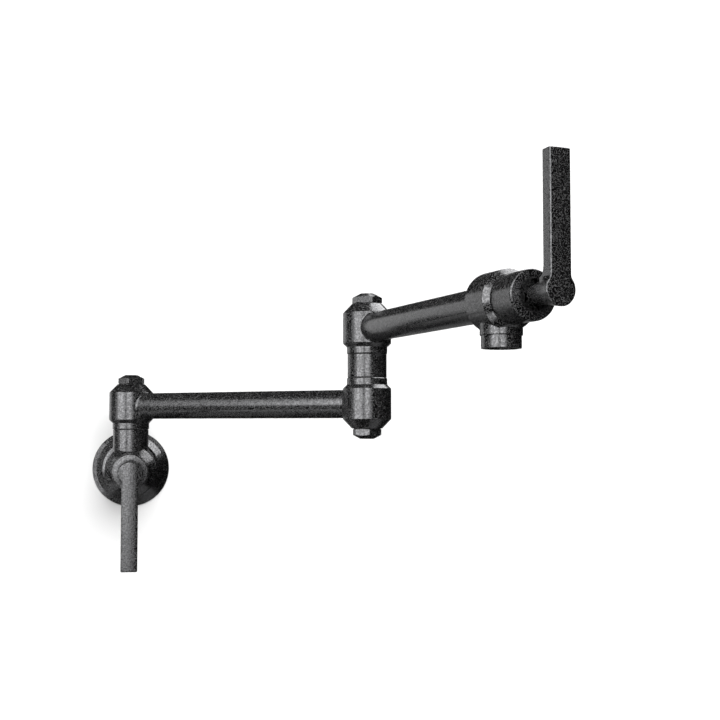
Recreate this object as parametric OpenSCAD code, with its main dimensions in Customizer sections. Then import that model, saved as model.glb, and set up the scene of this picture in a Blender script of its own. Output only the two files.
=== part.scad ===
// Wall mounted pot filler with two swinging arms, a shut-off valve at the wall and another at the spout.
// Millimetres. The origin is the centre of the threaded inlet, on the wall plane.
// +X runs along the wall, +Y goes into the wall and +Z is up.

/* [Reach and pose] */
// Distance from the wall to the first swivel axis
wall_to_axis = 59; // [56:0.5:75]
// Length of the column between the inlet valve's body and the wall swivel
wall_column_len = 14; // [10:0.5:50]
// Gap between the ends of the two posts inside the elbow's column
elbow_post_gap = 2.9; // [1:0.1:30]
// First arm, from swivel axis to elbow axis
first_arm_len = 239.5; // [120:0.5:320]
// Second arm, from elbow axis to spout axis
second_arm_len = 220; // [120:0.5:300]
// Angle of the first arm out from the wall
first_arm_angle = 40; // [20:1:160]
// Angle of the second arm out from the wall
second_arm_angle = 79; // [20:1:160]

/* [Wall flange] */
// Diameter of the flange
flange_d = 70; // [64:0.5:90]
// Height of the flange's upright rim
flange_rim_h = 1.6; // [1:0.1:3]
// Inner diameter of the sloped outer band
flange_band_d = 62.4; // [60:0.2:63]
// Height of the sloped outer band
flange_band_h = 3; // [2:0.1:5]
// Outer diameter of the foot of the flange's neck
flange_foot_d = 51.2; // [50:0.2:54]
// Rise of the cone between the band and the neck's foot
flange_cone_h = 6; // [2:0.1:8]
// Radius of the cove at the neck's foot
flange_cove_r = 2.4; // [1.5:0.1:2.6]
// Length of the neck's lip past the cove
flange_lip_h = 0.8; // [0.4:0.1:3]
// Wall thickness of the flange shell behind the band
flange_wall = 1.6; // [1:0.1:2]
// Outer diameter of the foam gasket
gasket_d = 62; // [56:0.5:63]
// Inner diameter of the foam gasket
gasket_bore = 50; // [47:0.5:52]
// Thickness of the foam gasket
gasket_t = 1.5; // [1:0.1:2]
// Section of the O-ring that grips the valve body
grip_ring_section = 1.3; // [1:0.1:1.6]

/* [Inlet valve body] */
// Diameter of the inlet valve body
inlet_body_d = 44.4; // [42:0.2:45]
// From the swivel axis forward to the start of the front bevel
inlet_body_front = 10.4; // [8:0.1:14]
// Bore of the threaded inlet
inlet_thread_bore = 19; // [17:0.1:21]
// Depth of the threaded inlet
inlet_thread_len = 16; // [10:0.5:20]
// Bore of the waterway between the inlet and the seat
inlet_water_bore = 13; // [8:0.5:15]

/* [Outlet valve body] */
// Diameter of the outlet valve body
outlet_body_d = 38; // [36:0.2:40]
// From the spout axis back to the body's rear face
outlet_body_rear = 12.2; // [11.5:0.1:16]
// From the spout axis forward to the start of the front bevel
outlet_body_front = 11; // [10:0.1:14]
// Diameter of the collar that carries the spout
spout_collar_d = 26.6; // [26:0.2:30]
// From the arm's centre line down to the collar's lower face
spout_collar_drop = 21.2; // [20:0.1:26]

/* [Swivel barrels] */
// Diameter of a barrel
barrel_d = 38; // [36:0.2:42]
// Half the height of a barrel's upright wall
barrel_half = 12; // [11.6:0.1:15]
// Height of the bevel at the cap nut's end
barrel_bevel_h = 7.4; // [5:0.1:9]
// Diameter of the flat that the cap nut seats on
barrel_seat_d = 24; // [22:0.2:26]
// Height of the bevel at the column's end
barrel_neck_h = 3; // [1:0.1:5]
// Diameter of the collar below the neck
barrel_collar_d = 31.8; // [31:0.1:34]
// Height of that collar
barrel_collar_h = 5.4; // [3:0.1:7]
// Port through a barrel's wall between its bore and its tube
barrel_port_d = 16; // [12:0.5:17]
// Diameter of the columns between the barrels
column_d = 30.8; // [28:0.1:31]
// Waterway through a column
column_bore = 15; // [11:0.5:16]

/* [Cap nuts] */
// Width across the flats of a cap nut
nut_flats = 21; // [19:0.5:22]
// Height of the nut's upright flats
nut_h = 4.3; // [3:0.1:6]
// Height of the nut's shallow crown
nut_crown_h = 3.5; // [2:0.1:5]
// Diameter of the flat on top of the crown
nut_crown_d = 11; // [8:0.5:14]
// Rise of the small cone under the nut's corners
nut_foot_h = 0.5; // [0.3:0.1:1]
// How the wall swivel's nut is turned
wall_nut_turn = 19; // [0:1:59]
// How the elbow's upper nut is turned
upper_nut_turn = 40; // [0:1:59]
// How the elbow's lower nut is turned
lower_nut_turn = 28; // [0:1:59]

/* [Swivel posts] */
// Diameter of a post where the barrel runs on it
post_d = 19; // [18:0.1:20]
// Diameter of the waist that water flows round
post_waist_d = 15; // [14:0.1:16]
// Half the height of the waist
post_waist_half = 6; // [5:0.1:7]
// Bore up the middle of a post
post_bore = 10; // [8:0.1:11]
// Diameter of the holes across the waist
post_port_d = 7; // [5:0.1:9]
// Depth that a post screws into its column
post_thread_len = 7.5; // [5:0.1:8]
// Diameter of the thread that carries the cap nut
post_spigot_d = 12; // [10:0.1:13]
// Length of that thread past the post's shoulder
post_spigot_len = 6.4; // [5:0.1:7]
// From the post's shoulder down from the barrel's seat
post_shoulder_drop = 2.4; // [1.5:0.1:3]
// Height of the post's O-rings above and below the arm's centre line
post_ring_h = 10.6; // [10.5:0.1:11.5]
// Section of a post's O-ring
post_ring_section = 1.8; // [1.4:0.1:2]
// Thickness of the plain thrust washer under a barrel
thrust_washer_t = 0.4; // [0.3:0.1:1]
// How far that washer stands back from the column's wall
thrust_washer_inset = 0.5; // [0.2:0.1:1]
// Thickness of the plain washer under a cap nut
cap_washer_t = 0.3; // [0.2:0.1:1]

/* [Arm tubes] */
// Outer diameter of the arm tubes
tube_d = 22.5; // [21:0.1:22.8]
// Wall thickness of the arm tubes
tube_wall = 1.6; // [1:0.1:2.5]
// From a barrel's axis to the end of the tube in its socket
tube_start = 13.5; // [12.5:0.1:15]
// Depth of the tube's socket in the outlet valve
tube_socket = 2; // [1:0.1:2.5]

/* [Valve cartridges] */
// From the port's axis back to the seat
seat_depth = 7; // [6:0.1:8]
// Bore of the cartridge chamber
chamber_bore = 22.4; // [22:0.1:23]
// Bore through the seat
seat_bore = 10; // [8:0.1:11]
// Outer diameter of the seat seal
seal_d = 16; // [14:0.1:18]
// Thickness of the seat seal
seal_t = 1.4; // [1:0.1:2]
// Diameter of the ceramic discs
disc_d = 17.4; // [17:0.1:17.6]
// Thickness of the fixed disc
fixed_disc_t = 2.8; // [2:0.1:3]
// Thickness of the moving disc
moving_disc_t = 2.6; // [2:0.1:3]
// Diameter of the two ports through each disc
disc_port_d = 5; // [4:0.1:5.5]
// From the disc's centre to each port's centre
disc_port_offset = 4; // [3.8:0.1:4.5]
// Bore of the sleeve's pocket for the discs
pocket_bore = 18.2; // [18.1:0.1:18.6]
// Outer diameter of the sleeve round the discs and windows
sleeve_waist_d = 20.6; // [20:0.1:21]
// Bore of the sleeve above the discs
sleeve_chamber_bore = 15; // [14:0.1:16]
// Depth of that bore above the discs
sleeve_chamber_len = 6.4; // [6:0.1:7]
// Diameter of the sleeve's two windows
window_d = 5; // [4:0.1:5.6]
// Section of the sleeve's O-ring
sleeve_ring_section = 1.6; // [1.2:0.1:1.8]
// Width across the flats of the sleeve's hexagon
sleeve_flats = 22; // [20:0.5:22]
// Length of the sleeve's hexagon
sleeve_hex_len = 4; // [3:0.1:5]
// Length of the thread that carries the bonnet
bonnet_thread_len = 4.5; // [3:0.1:6]
// Diameter of the sleeve's neck round the stem
sleeve_neck_d = 15; // [13:0.1:18]

/* [Bonnets] */
// Diameter of a bonnet
bonnet_d = 31.1; // [30:0.1:32]
// From the port's axis to a bonnet's front face
bonnet_front = 40.7; // [36:0.1:46]
// Radius round a bonnet's front edge
bonnet_edge_r = 1.8; // [0.5:0.1:3]
// Inner diameter of a bonnet
bonnet_bore = 26.4; // [26:0.1:27]
// Thickness of a bonnet's front wall
bonnet_front_t = 4; // [2:0.1:5]

/* [Stems] */
// Diameter of a stem
stem_d = 9; // [8:0.1:9.6]
// Diameter of the shoulder that keeps a stem in its sleeve
stem_shoulder_d = 12.4; // [11:0.1:13.5]
// Thickness of that shoulder
stem_shoulder_t = 1.6; // [1:0.1:2.4]
// Width of the tang that turns the disc
tang_w = 3; // [2:0.1:4]
// Length of the tang
tang_l = 11; // [8:0.1:12]
// Depth of the tang in the disc
tang_h = 1; // [0.6:0.1:1.4]
// Section of a stem's O-rings
stem_ring_section = 1.2; // [1:0.1:1.4]
// Depth of the flat that the grub screw bears on
stem_flat = 0.7; // [0.4:0.1:1]

/* [Levers] */
// From the port's axis to a lever's front face
lever_front = 70.8; // [66:0.1:80]
// Thickness of a lever's blade
lever_t = 9.1; // [7:0.1:11]
// Width of a lever's blade
lever_w = 13.7; // [11:0.1:16]
// From the hub's centre to the blade's end
lever_len = 80.7; // [50:0.5:110]
// Diameter of the hub's round face
hub_d = 19.4; // [18:0.1:22]
// Diameter of the boss where it meets the bonnet
boss_d = 10.9; // [10.6:0.1:14]
// Radius of the blend between blade and hub
lever_blend_r = 5; // [2:0.1:8]
// Radius of the cove between the blade's back and the boss
lever_cove_r = 5; // [2:0.1:7]
// Bevel along a lever's edges
lever_edge = 0.8; // [0.3:0.1:1.5]
// Depth of a lever's bore from its mouth
lever_bore_len = 20; // [14:0.1:24]
// Diameter of the grub screw
grub_d = 4; // [3:0.1:4.5]
// Width across the flats of the grub screw's socket
grub_socket_flats = 2; // [1.5:0.1:2.2]
// Depth of that socket
grub_socket_depth = 1.2; // [0.8:0.1:1.5]
// From the lever's boss mouth to the grub screw's axis
grub_offset = 11; // [8:0.1:13]

/* [Spout] */
// Diameter of the spout
spout_d = 25.1; // [24:0.1:26]
// Length of the spout below its collar
spout_len = 8.1; // [7.5:0.1:12]
// Small bevel round the spout's lower edge
spout_edge = 0.5; // [0.2:0.1:1]
// Bore of the spout's open mouth
mouth_bore = 21.6; // [21:0.1:22.2]
// Depth of the open mouth
mouth_depth = 3; // [1.5:0.1:3.5]
// Diameter of the spout's thread in the collar
spout_thread_d = 23; // [22:0.1:23.5]
// Length of that thread
spout_thread_len = 7; // [5:0.1:7.5]
// Bore of the spout's waterway
spout_bore = 19; // [17:0.1:19.4]
// Thickness of the stream insert
insert_t = 4; // [3:0.1:4]
// Thickness of the screen on the stream insert
screen_t = 0.6; // [0.4:0.1:0.9]
// Holes in the stream insert's outer ring
insert_holes = 12; // [6:1:16]
// Diameter of the stream insert's holes
insert_hole_d = 2.6; // [1.5:0.1:2.8]
// Diameter of the screen's holes
screen_hole_d = 1.8; // [1:0.1:2]
// Distance between the screen's holes
screen_pitch = 2.8; // [2.4:0.1:3.2]
// Thickness of the spout's washer
spout_washer_t = 1.5; // [1:0.1:2]
// Waterway from the outlet chamber down to the spout
drop_bore = 16; // [12:0.1:17]

/* [Fits] */
// Radial clearance of every turning or sliding fit
fit_gap = 0.05; // [0.03:0.01:0.08]
// Clearance between faces that move past each other
face_gap = 0.3; // [0.2:0.05:0.5]

/* [Hidden] */
$fn = 96;

// Overrun of every cut past the face that it opens
cut = 1;

// Places
elbow_x = first_arm_len * cos(first_arm_angle);
elbow_y = -wall_to_axis - first_arm_len * sin(first_arm_angle);
spout_x = elbow_x + second_arm_len * cos(second_arm_angle);
spout_y = elbow_y - second_arm_len * sin(second_arm_angle);

// Swivel stack, measured from an arm's centre line towards the cap nut (up) and the column (down)
seat_z = barrel_half + barrel_bevel_h;
collar_z = -barrel_half - barrel_neck_h - barrel_collar_h;
column_z = collar_z - thrust_washer_t;
shoulder_z = seat_z - post_shoulder_drop;
nut_z = seat_z + cap_washer_t;
nut_corners = nut_flats / cos(30);
barrel_bore = post_d + 2 * fit_gap;
ring_groove_h = post_ring_section + 2 * fit_gap;
ring_groove_d = post_d - 2 * post_ring_section - 2 * fit_gap;

// Heights of the columns and of the arms' centre lines
wall_column_top = inlet_body_d / 2 + wall_column_len;
elbow_column_len = 2 * post_thread_len + elbow_post_gap;
first_arm_h = wall_column_top - column_z;
second_arm_h = first_arm_h + elbow_column_len - 2 * column_z;

// Valve stack, measured from the port's axis out towards the lever
inlet_face = inlet_body_front + (inlet_body_d - bonnet_d) / 2;
outlet_face = outlet_body_front + (outlet_body_d - bonnet_d) / 2;
fixed_disc_z = -seat_depth + seal_t;
moving_disc_z = fixed_disc_z + fixed_disc_t;
disc_top_z = moving_disc_z + moving_disc_t;
sleeve_roof_z = disc_top_z + sleeve_chamber_len;
window_z = disc_top_z + sleeve_chamber_len / 2;
sleeve_ring_z = sleeve_roof_z + 2 * sleeve_ring_section;
sleeve_land_z = sleeve_roof_z + sleeve_ring_section;
sleeve_neck_end = bonnet_front - bonnet_front_t - 2 * bonnet_edge_r;
stem_shoulder_z = sleeve_roof_z - face_gap - stem_shoulder_t;
boss_z = bonnet_front + face_gap;
blade_z = lever_front - lever_t;
stem_end_z = boss_z + lever_bore_len - face_gap;
stem_ring_zs = [sleeve_neck_end - 3 * stem_ring_section, sleeve_neck_end - 6 * stem_ring_section];
grub_z = boss_z + grub_offset;
boss_end_z = lever_front - lever_edge;
boss_slope = (hub_d - boss_d) / 2 / (boss_end_z - boss_z);
boss_r_at_grub = boss_d / 2 + boss_slope * (grub_offset - grub_d / 2);
boss_r_at_blade = boss_d / 2 + boss_slope * (blade_z - boss_z);

// Flange stack, measured out from the wall
flange_band_z = flange_rim_h + flange_band_h;
flange_foot_z = flange_band_z + flange_cone_h;
flange_top = flange_foot_z + flange_cove_r + flange_lip_h;
flange_bore = inlet_body_d + 2 * fit_gap;
grip_ring_z = flange_band_z;

// Spout stack, measured down from the arm's centre line
spout_end_z = -spout_collar_drop - spout_len;
insert_d = spout_bore + (mouth_bore - spout_bore) / 2;
insert_z = spout_end_z + mouth_depth;
spout_top_z = -spout_collar_drop + spout_thread_len;

black = [0.13, 0.13, 0.14];
brass = [0.78, 0.62, 0.32];
steel = [0.72, 0.73, 0.75];
rubber = [0.08, 0.08, 0.08];
ceramic = [0.92, 0.91, 0.88];
nylon = [0.6, 0.6, 0.58];
bearing = [0.1, 0.1, 0.1];

// Ring standing on its lower face
module ring(outer_d, inner_d, h) {
    difference() {
        cylinder(d = outer_d, h = h);
        translate([0, 0, -cut])
            cylinder(d = inner_d, h = h + 2 * cut);
    }
}

module o_ring(mean_d, section) {
    rotate_extrude()
        translate([mean_d / 2, 0])
            circle(d = section);
}

// Frames: each puts its children, drawn round their own axis, where the object holds them
module at_wall_axis(h) {
    translate([0, -wall_to_axis, h])
        rotate([0, 0, -first_arm_angle])
            children();
}

module at_elbow(h, turn) {
    translate([elbow_x, elbow_y, h])
        rotate([0, 0, turn])
            children();
}

module at_wall_swivel() {
    at_wall_axis(first_arm_h)
        children();
}

module at_elbow_lower() {
    at_elbow(first_arm_h, 180 - first_arm_angle)
        mirror([0, 0, 1])
            children();
}

module at_elbow_upper() {
    at_elbow(second_arm_h, -second_arm_angle)
        children();
}

// Valve frames: the valve's axis is +Z towards the lever, and +Y is up
module at_inlet_valve() {
    translate([0, -wall_to_axis, 0])
        rotate([90, 0, 0])
            children();
}

module at_outlet_valve() {
    translate([spout_x, spout_y, second_arm_h])
        rotate([0, 0, 90 - second_arm_angle])
            rotate([90, 0, 0])
                children();
}

module at_flange() {
    rotate([90, 0, 0])
        children();
}

module at_spout() {
    translate([spout_x, spout_y, second_arm_h])
        children();
}

// Wall flange, its gasket and the O-ring that grips the valve body
module flange_section() {
    difference() {
        polygon([
            [0, 0],
            [flange_d / 2, 0],
            [flange_d / 2, flange_rim_h],
            [flange_band_d / 2, flange_band_z],
            [flange_foot_d / 2, flange_foot_z],
            [flange_foot_d / 2 - flange_cove_r, flange_foot_z + flange_cove_r],
            [flange_foot_d / 2 - flange_cove_r, flange_top],
            [0, flange_top]
        ]);
        translate([flange_foot_d / 2, flange_foot_z + flange_cove_r])
            circle(r = flange_cove_r);
    }
}

module wall_flange() {
    color(black)
        at_flange()
            difference() {
                rotate_extrude()
                    flange_section();
                translate([0, 0, -cut])
                    cylinder(d = flange_bore, h = flange_top + 2 * cut);
                translate([0, 0, -cut])
                    cylinder(d = gasket_d + 2 * fit_gap, h = gasket_t + cut);
                translate([0, 0, -cut])
                    cylinder(d = gasket_bore, h = flange_band_z - flange_wall + cut);
                translate([0, 0, grip_ring_z])
                    ring(flange_bore + 2 * grip_ring_section, flange_bore - cut, grip_ring_section + 2 * fit_gap);
            }
}

module wall_gasket() {
    color(rubber)
        at_flange()
            ring(gasket_d, gasket_bore, gasket_t - fit_gap);
}

module flange_o_ring() {
    color(rubber)
        at_flange()
            translate([0, 0, grip_ring_z + grip_ring_section / 2 + fit_gap])
                o_ring(inlet_body_d + grip_ring_section + 2 * fit_gap, grip_ring_section);
}

// Valve bodies
module body_section(body_d, rear, front) {
    face = front + (body_d - bonnet_d) / 2;
    polygon([
        [0, -rear],
        [body_d / 2, -rear],
        [body_d / 2, front],
        [bonnet_d / 2, face],
        [0, face]
    ]);
}

module cartridge_chamber(face) {
    translate([0, 0, -seat_depth])
        cylinder(d = chamber_bore, h = seat_depth + face + cut);
}

module inlet_valve_body() {
    color(black)
        at_inlet_valve()
            difference() {
                rotate_extrude()
                    body_section(inlet_body_d, wall_to_axis, inlet_body_front);
                cartridge_chamber(inlet_face);
                translate([0, 0, -wall_to_axis])
                    cylinder(d = inlet_water_bore, h = wall_to_axis - seat_depth - seal_t);
                translate([0, 0, -seat_depth - 2 * seal_t])
                    cylinder(d = seat_bore, h = 2 * seal_t + cut);
                translate([0, 0, -wall_to_axis - cut])
                    cylinder(d = inlet_thread_bore, h = inlet_thread_len + cut);
                translate([0, seal_d / 2, 0])
                    rotate([-90, 0, 0])
                        cylinder(d = column_bore, h = inlet_body_d);
            }
}

// The column stands on the body, and its foot is cut to the body's shape
module wall_column() {
    color(black)
        at_inlet_valve()
            difference() {
                rotate([-90, 0, 0])
                    cylinder(d = column_d, h = wall_column_top);
                rotate_extrude()
                    body_section(inlet_body_d, wall_to_axis, inlet_body_front);
                rotate([-90, 0, 0])
                    cylinder(d = column_bore, h = wall_column_top + cut);
                translate([0, wall_column_top - post_thread_len, 0])
                    rotate([-90, 0, 0])
                        cylinder(d = barrel_bore, h = post_thread_len + cut);
            }
}

module outlet_valve_body() {
    socket_end = -outlet_body_rear + tube_socket;
    color(black)
        at_outlet_valve()
            difference() {
                rotate_extrude()
                    body_section(outlet_body_d, outlet_body_rear, outlet_body_front);
                cartridge_chamber(outlet_face);
                translate([0, 0, -outlet_body_rear - cut])
                    cylinder(d = tube_d + 2 * fit_gap, h = tube_socket + cut);
                translate([0, 0, socket_end - cut])
                    cylinder(d = seat_bore, h = outlet_body_rear + cut);
                translate([0, -seal_d / 2, 0])
                    rotate([90, 0, 0])
                        cylinder(d = drop_bore, h = outlet_body_d);
                spout_socket();
            }
}

module spout_socket() {
    translate([0, -spout_collar_drop - cut, 0])
        rotate([-90, 0, 0])
            cylinder(d = spout_thread_d + 2 * fit_gap, h = spout_thread_len + spout_washer_t + cut);
}

// The collar hangs under the body, and its top is cut to the body and the arm's tube
module spout_collar() {
    color(black)
        at_outlet_valve()
            difference() {
                rotate([90, 0, 0])
                    cylinder(d = spout_collar_d, h = spout_collar_drop);
                rotate_extrude()
                    body_section(outlet_body_d, outlet_body_rear, outlet_body_front);
                translate([0, 0, -spout_collar_d])
                    cylinder(d = tube_d + 2 * fit_gap, h = spout_collar_d);
                spout_socket();
            }
}

// Swivel parts, each drawn with its arm's centre line at z = 0 and the cap nut at the top
module barrel() {
    color(black)
        difference() {
            rotate_extrude()
                polygon([
                    [0, collar_z],
                    [barrel_collar_d / 2, collar_z],
                    [barrel_collar_d / 2, -barrel_half - barrel_neck_h],
                    [barrel_d / 2, -barrel_half],
                    [barrel_d / 2, barrel_half],
                    [barrel_seat_d / 2, seat_z],
                    [0, seat_z]
                ]);
            translate([0, 0, collar_z - cut])
                cylinder(d = barrel_bore, h = seat_z - collar_z + 2 * cut);
            rotate([0, 90, 0])
                cylinder(d = barrel_port_d, h = barrel_d);
            translate([tube_start, 0, 0])
                rotate([0, 90, 0])
                    cylinder(d = tube_d + 2 * fit_gap, h = barrel_d);
        }
}

module post() {
    color(brass)
        difference() {
            union() {
                translate([0, 0, column_z - post_thread_len])
                    cylinder(d = post_d, h = shoulder_z - column_z + post_thread_len);
                translate([0, 0, shoulder_z])
                    cylinder(d = post_spigot_d, h = post_spigot_len);
            }
            translate([0, 0, -post_waist_half])
                ring(post_d + cut, post_waist_d, 2 * post_waist_half);
            for (side = [-1, 1])
                translate([0, 0, side * post_ring_h - ring_groove_h / 2])
                    ring(post_d + cut, ring_groove_d, ring_groove_h);
            translate([0, 0, column_z - post_thread_len - cut])
                cylinder(d = post_bore, h = post_waist_half - column_z + post_thread_len + cut);
            for (turn = [0, 90])
                rotate([0, 0, turn])
                    translate([-post_d / 2, 0, 0])
                        rotate([0, 90, 0])
                            cylinder(d = post_port_d, h = post_d);
        }
}

module post_o_rings() {
    color(rubber)
        for (side = [-1, 1])
            translate([0, 0, side * post_ring_h])
                o_ring(post_d - post_ring_section, post_ring_section);
}

module thrust_washer() {
    color(bearing)
        translate([0, 0, column_z])
            ring(column_d - 2 * thrust_washer_inset, barrel_bore, thrust_washer_t);
}

module cap_washer() {
    color(bearing)
        translate([0, 0, seat_z])
            ring(nut_flats, post_spigot_d + 2 * fit_gap, cap_washer_t);
}

module cap_nut(turn) {
    color(black)
        translate([0, 0, nut_z])
            rotate([0, 0, turn])
                difference() {
                    intersection() {
                        cylinder(d = nut_corners, h = nut_h + nut_crown_h, $fn = 6);
                        rotate_extrude()
                            polygon([
                                [0, 0],
                                [nut_flats / 2, 0],
                                [nut_corners / 2, nut_foot_h],
                                [nut_corners / 2, nut_h],
                                [nut_crown_d / 2, nut_h + nut_crown_h],
                                [0, nut_h + nut_crown_h]
                            ]);
                    }
                    translate([0, 0, -cut])
                        cylinder(d = post_spigot_d + 2 * fit_gap, h = post_spigot_len - post_shoulder_drop + cut);
                }
}

// The column between the elbow's barrels
module elbow_column() {
    color(black)
        at_elbow(first_arm_h - column_z, 0)
            difference() {
                cylinder(d = column_d, h = elbow_column_len);
                translate([0, 0, -cut])
                    cylinder(d = column_bore, h = elbow_column_len + 2 * cut);
                translate([0, 0, -cut])
                    cylinder(d = barrel_bore, h = post_thread_len + cut);
                translate([0, 0, elbow_column_len - post_thread_len])
                    cylinder(d = barrel_bore, h = post_thread_len + cut);
            }
}

// Arm tubes, each drawn along +X from the axis that it starts at
module arm_tube(start, end) {
    color(black)
        translate([start, 0, 0])
            rotate([0, 90, 0])
                ring(tube_d, tube_d - 2 * tube_wall, end - start);
}

// Valve cartridge, drawn along +Z from the port's axis
module cartridge_sleeve(face) {
    land_d = chamber_bore - 2 * fit_gap;
    hex_end = face + sleeve_hex_len;
    color(brass)
        difference() {
            union() {
                translate([0, 0, fixed_disc_z])
                    cylinder(d = sleeve_waist_d, h = sleeve_land_z - fixed_disc_z);
                translate([0, 0, sleeve_land_z])
                    cylinder(d = land_d, h = face - sleeve_land_z);
                translate([0, 0, face])
                    cylinder(d = sleeve_flats / cos(30), h = sleeve_hex_len, $fn = 6);
                translate([0, 0, hex_end])
                    cylinder(d = bonnet_bore - 2 * fit_gap, h = bonnet_thread_len);
                translate([0, 0, hex_end])
                    cylinder(d = sleeve_neck_d, h = sleeve_neck_end - hex_end);
            }
            translate([0, 0, fixed_disc_z - cut])
                cylinder(d = pocket_bore, h = disc_top_z - fixed_disc_z + cut);
            translate([0, 0, disc_top_z - cut])
                cylinder(d = sleeve_chamber_bore, h = sleeve_chamber_len + cut);
            translate([0, 0, sleeve_roof_z - cut])
                cylinder(d = stem_d + 2 * fit_gap, h = sleeve_neck_end - sleeve_roof_z + 2 * cut);
            translate([0, chamber_bore / 2, window_z])
                rotate([90, 0, 0])
                    cylinder(d = window_d, h = chamber_bore);
            translate([0, 0, sleeve_ring_z - sleeve_ring_section / 2 - fit_gap])
                ring(chamber_bore + cut, land_d - 2 * sleeve_ring_section, sleeve_ring_section + 2 * fit_gap);
        }
}

module cartridge_o_ring() {
    color(rubber)
        translate([0, 0, sleeve_ring_z])
            o_ring(chamber_bore - sleeve_ring_section - 2 * fit_gap, sleeve_ring_section);
}

module seat_seal() {
    color(rubber)
        translate([0, 0, -seat_depth])
            ring(seal_d, seat_bore, seal_t);
}

module disc_ports(t, turn) {
    rotate([0, 0, turn])
        for (side = [-1, 1])
            translate([side * disc_port_offset, 0, -cut])
                cylinder(d = disc_port_d, h = t + 2 * cut);
}

module fixed_disc() {
    color(ceramic)
        translate([0, 0, fixed_disc_z])
            difference() {
                cylinder(d = disc_d, h = fixed_disc_t);
                disc_ports(fixed_disc_t, 0);
            }
}

module moving_disc() {
    color(ceramic)
        translate([0, 0, moving_disc_z])
            difference() {
                cylinder(d = disc_d, h = moving_disc_t);
                disc_ports(moving_disc_t, 90);
                translate([-tang_l / 2 - fit_gap, -tang_w / 2 - fit_gap, moving_disc_t - tang_h])
                    cube([tang_l + 2 * fit_gap, tang_w + 2 * fit_gap, tang_h + cut]);
            }
}

// flat_side is 1 where the blade hangs down and -1 where it stands up
module stem(flat_side) {
    groove_h = stem_ring_section + 2 * fit_gap;
    color(steel)
        difference() {
            union() {
                translate([-tang_l / 2, -tang_w / 2, disc_top_z - tang_h + fit_gap])
                    cube([tang_l, tang_w, stem_shoulder_z - disc_top_z + tang_h]);
                translate([0, 0, stem_shoulder_z])
                    cylinder(d = stem_shoulder_d, h = stem_shoulder_t);
                translate([0, 0, stem_shoulder_z])
                    cylinder(d = stem_d, h = stem_end_z - stem_shoulder_z);
            }
            for (z = stem_ring_zs)
                translate([0, 0, z - groove_h / 2])
                    ring(stem_d + cut, stem_d - 2 * stem_ring_section - 2 * fit_gap, groove_h);
            translate([-stem_d, flat_side * (stem_d - stem_flat) - stem_d / 2, grub_z - grub_d])
                cube([2 * stem_d, stem_d, stem_end_z - grub_z + grub_d + cut]);
        }
}

module stem_o_rings() {
    color(rubber)
        for (z = stem_ring_zs)
            translate([0, 0, z])
                o_ring(stem_d - stem_ring_section, stem_ring_section);
}

module bonnet(face) {
    color(black)
        difference() {
            rotate_extrude() {
                translate([0, face])
                    square([bonnet_d / 2, bonnet_front - bonnet_edge_r - face]);
                translate([0, bonnet_front - bonnet_edge_r])
                    square([bonnet_d / 2 - bonnet_edge_r, bonnet_edge_r]);
                translate([bonnet_d / 2 - bonnet_edge_r, bonnet_front - bonnet_edge_r])
                    intersection() {
                        circle(r = bonnet_edge_r);
                        square(bonnet_edge_r);
                    }
            }
            translate([0, 0, face - cut])
                cylinder(d = bonnet_bore, h = bonnet_front - bonnet_front_t - face + cut);
            translate([0, 0, bonnet_front - bonnet_front_t - cut])
                cylinder(d = stem_d + 2 * face_gap, h = bonnet_front_t + 2 * cut);
        }
}

// Lever, with its blade along +Y
module blend_outline() {
    corner_x = lever_w / 2 + lever_blend_r;
    corner_y = sqrt(pow(hub_d / 2 + lever_blend_r, 2) - pow(corner_x, 2));
    touch_share = (hub_d / 2) / (hub_d / 2 + lever_blend_r);
    difference() {
        polygon([
            [0, 0],
            [corner_x * touch_share, corner_y * touch_share],
            [corner_x, corner_y],
            [-corner_x, corner_y],
            [-corner_x * touch_share, corner_y * touch_share]
        ]);
        for (side = [-1, 1])
            translate([side * corner_x, corner_y])
                circle(r = lever_blend_r);
    }
}

module bevelled_strip(w, h) {
    polygon([
        [-w / 2 + lever_edge, 0],
        [w / 2 - lever_edge, 0],
        [w / 2, lever_edge],
        [w / 2, h - lever_edge],
        [w / 2 - lever_edge, h],
        [-w / 2 + lever_edge, h],
        [-w / 2, h - lever_edge],
        [-w / 2, lever_edge]
    ]);
}

// The blade's far end lies at z = 0 and its inner end inside the hub
module blade() {
    intersection() {
        linear_extrude(height = lever_len)
            bevelled_strip(lever_w, lever_t);
        translate([-lever_w / 2, 0, 0])
            rotate([90, 0, 90])
                translate([lever_t / 2, 0])
                    linear_extrude(height = lever_w)
                        bevelled_strip(lever_t, lever_len + lever_edge);
        translate([0, lever_t, 0])
            rotate([90, 0, 0])
                linear_extrude(height = lever_t)
                    bevelled_strip(lever_w, lever_len + lever_edge);
    }
}

// Fills the corner between the blade's back and the boss
module lever_cove() {
    lean = atan(boss_slope);
    reach = lever_cove_r / tan((90 + lean) / 2);
    rotate([90, 0, 90])
        translate([0, 0, -lever_w / 2])
            linear_extrude(height = lever_w)
                difference() {
                    polygon([
                        [0, blade_z + lever_edge],
                        [boss_r_at_blade + reach, blade_z + lever_edge],
                        [boss_r_at_blade + reach, blade_z],
                        [boss_r_at_blade - reach * sin(lean), blade_z - reach * cos(lean)],
                        [0, blade_z - reach * cos(lean)]
                    ]);
                    translate([boss_r_at_blade + reach, blade_z - lever_cove_r])
                        circle(r = lever_cove_r);
                }
}

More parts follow.
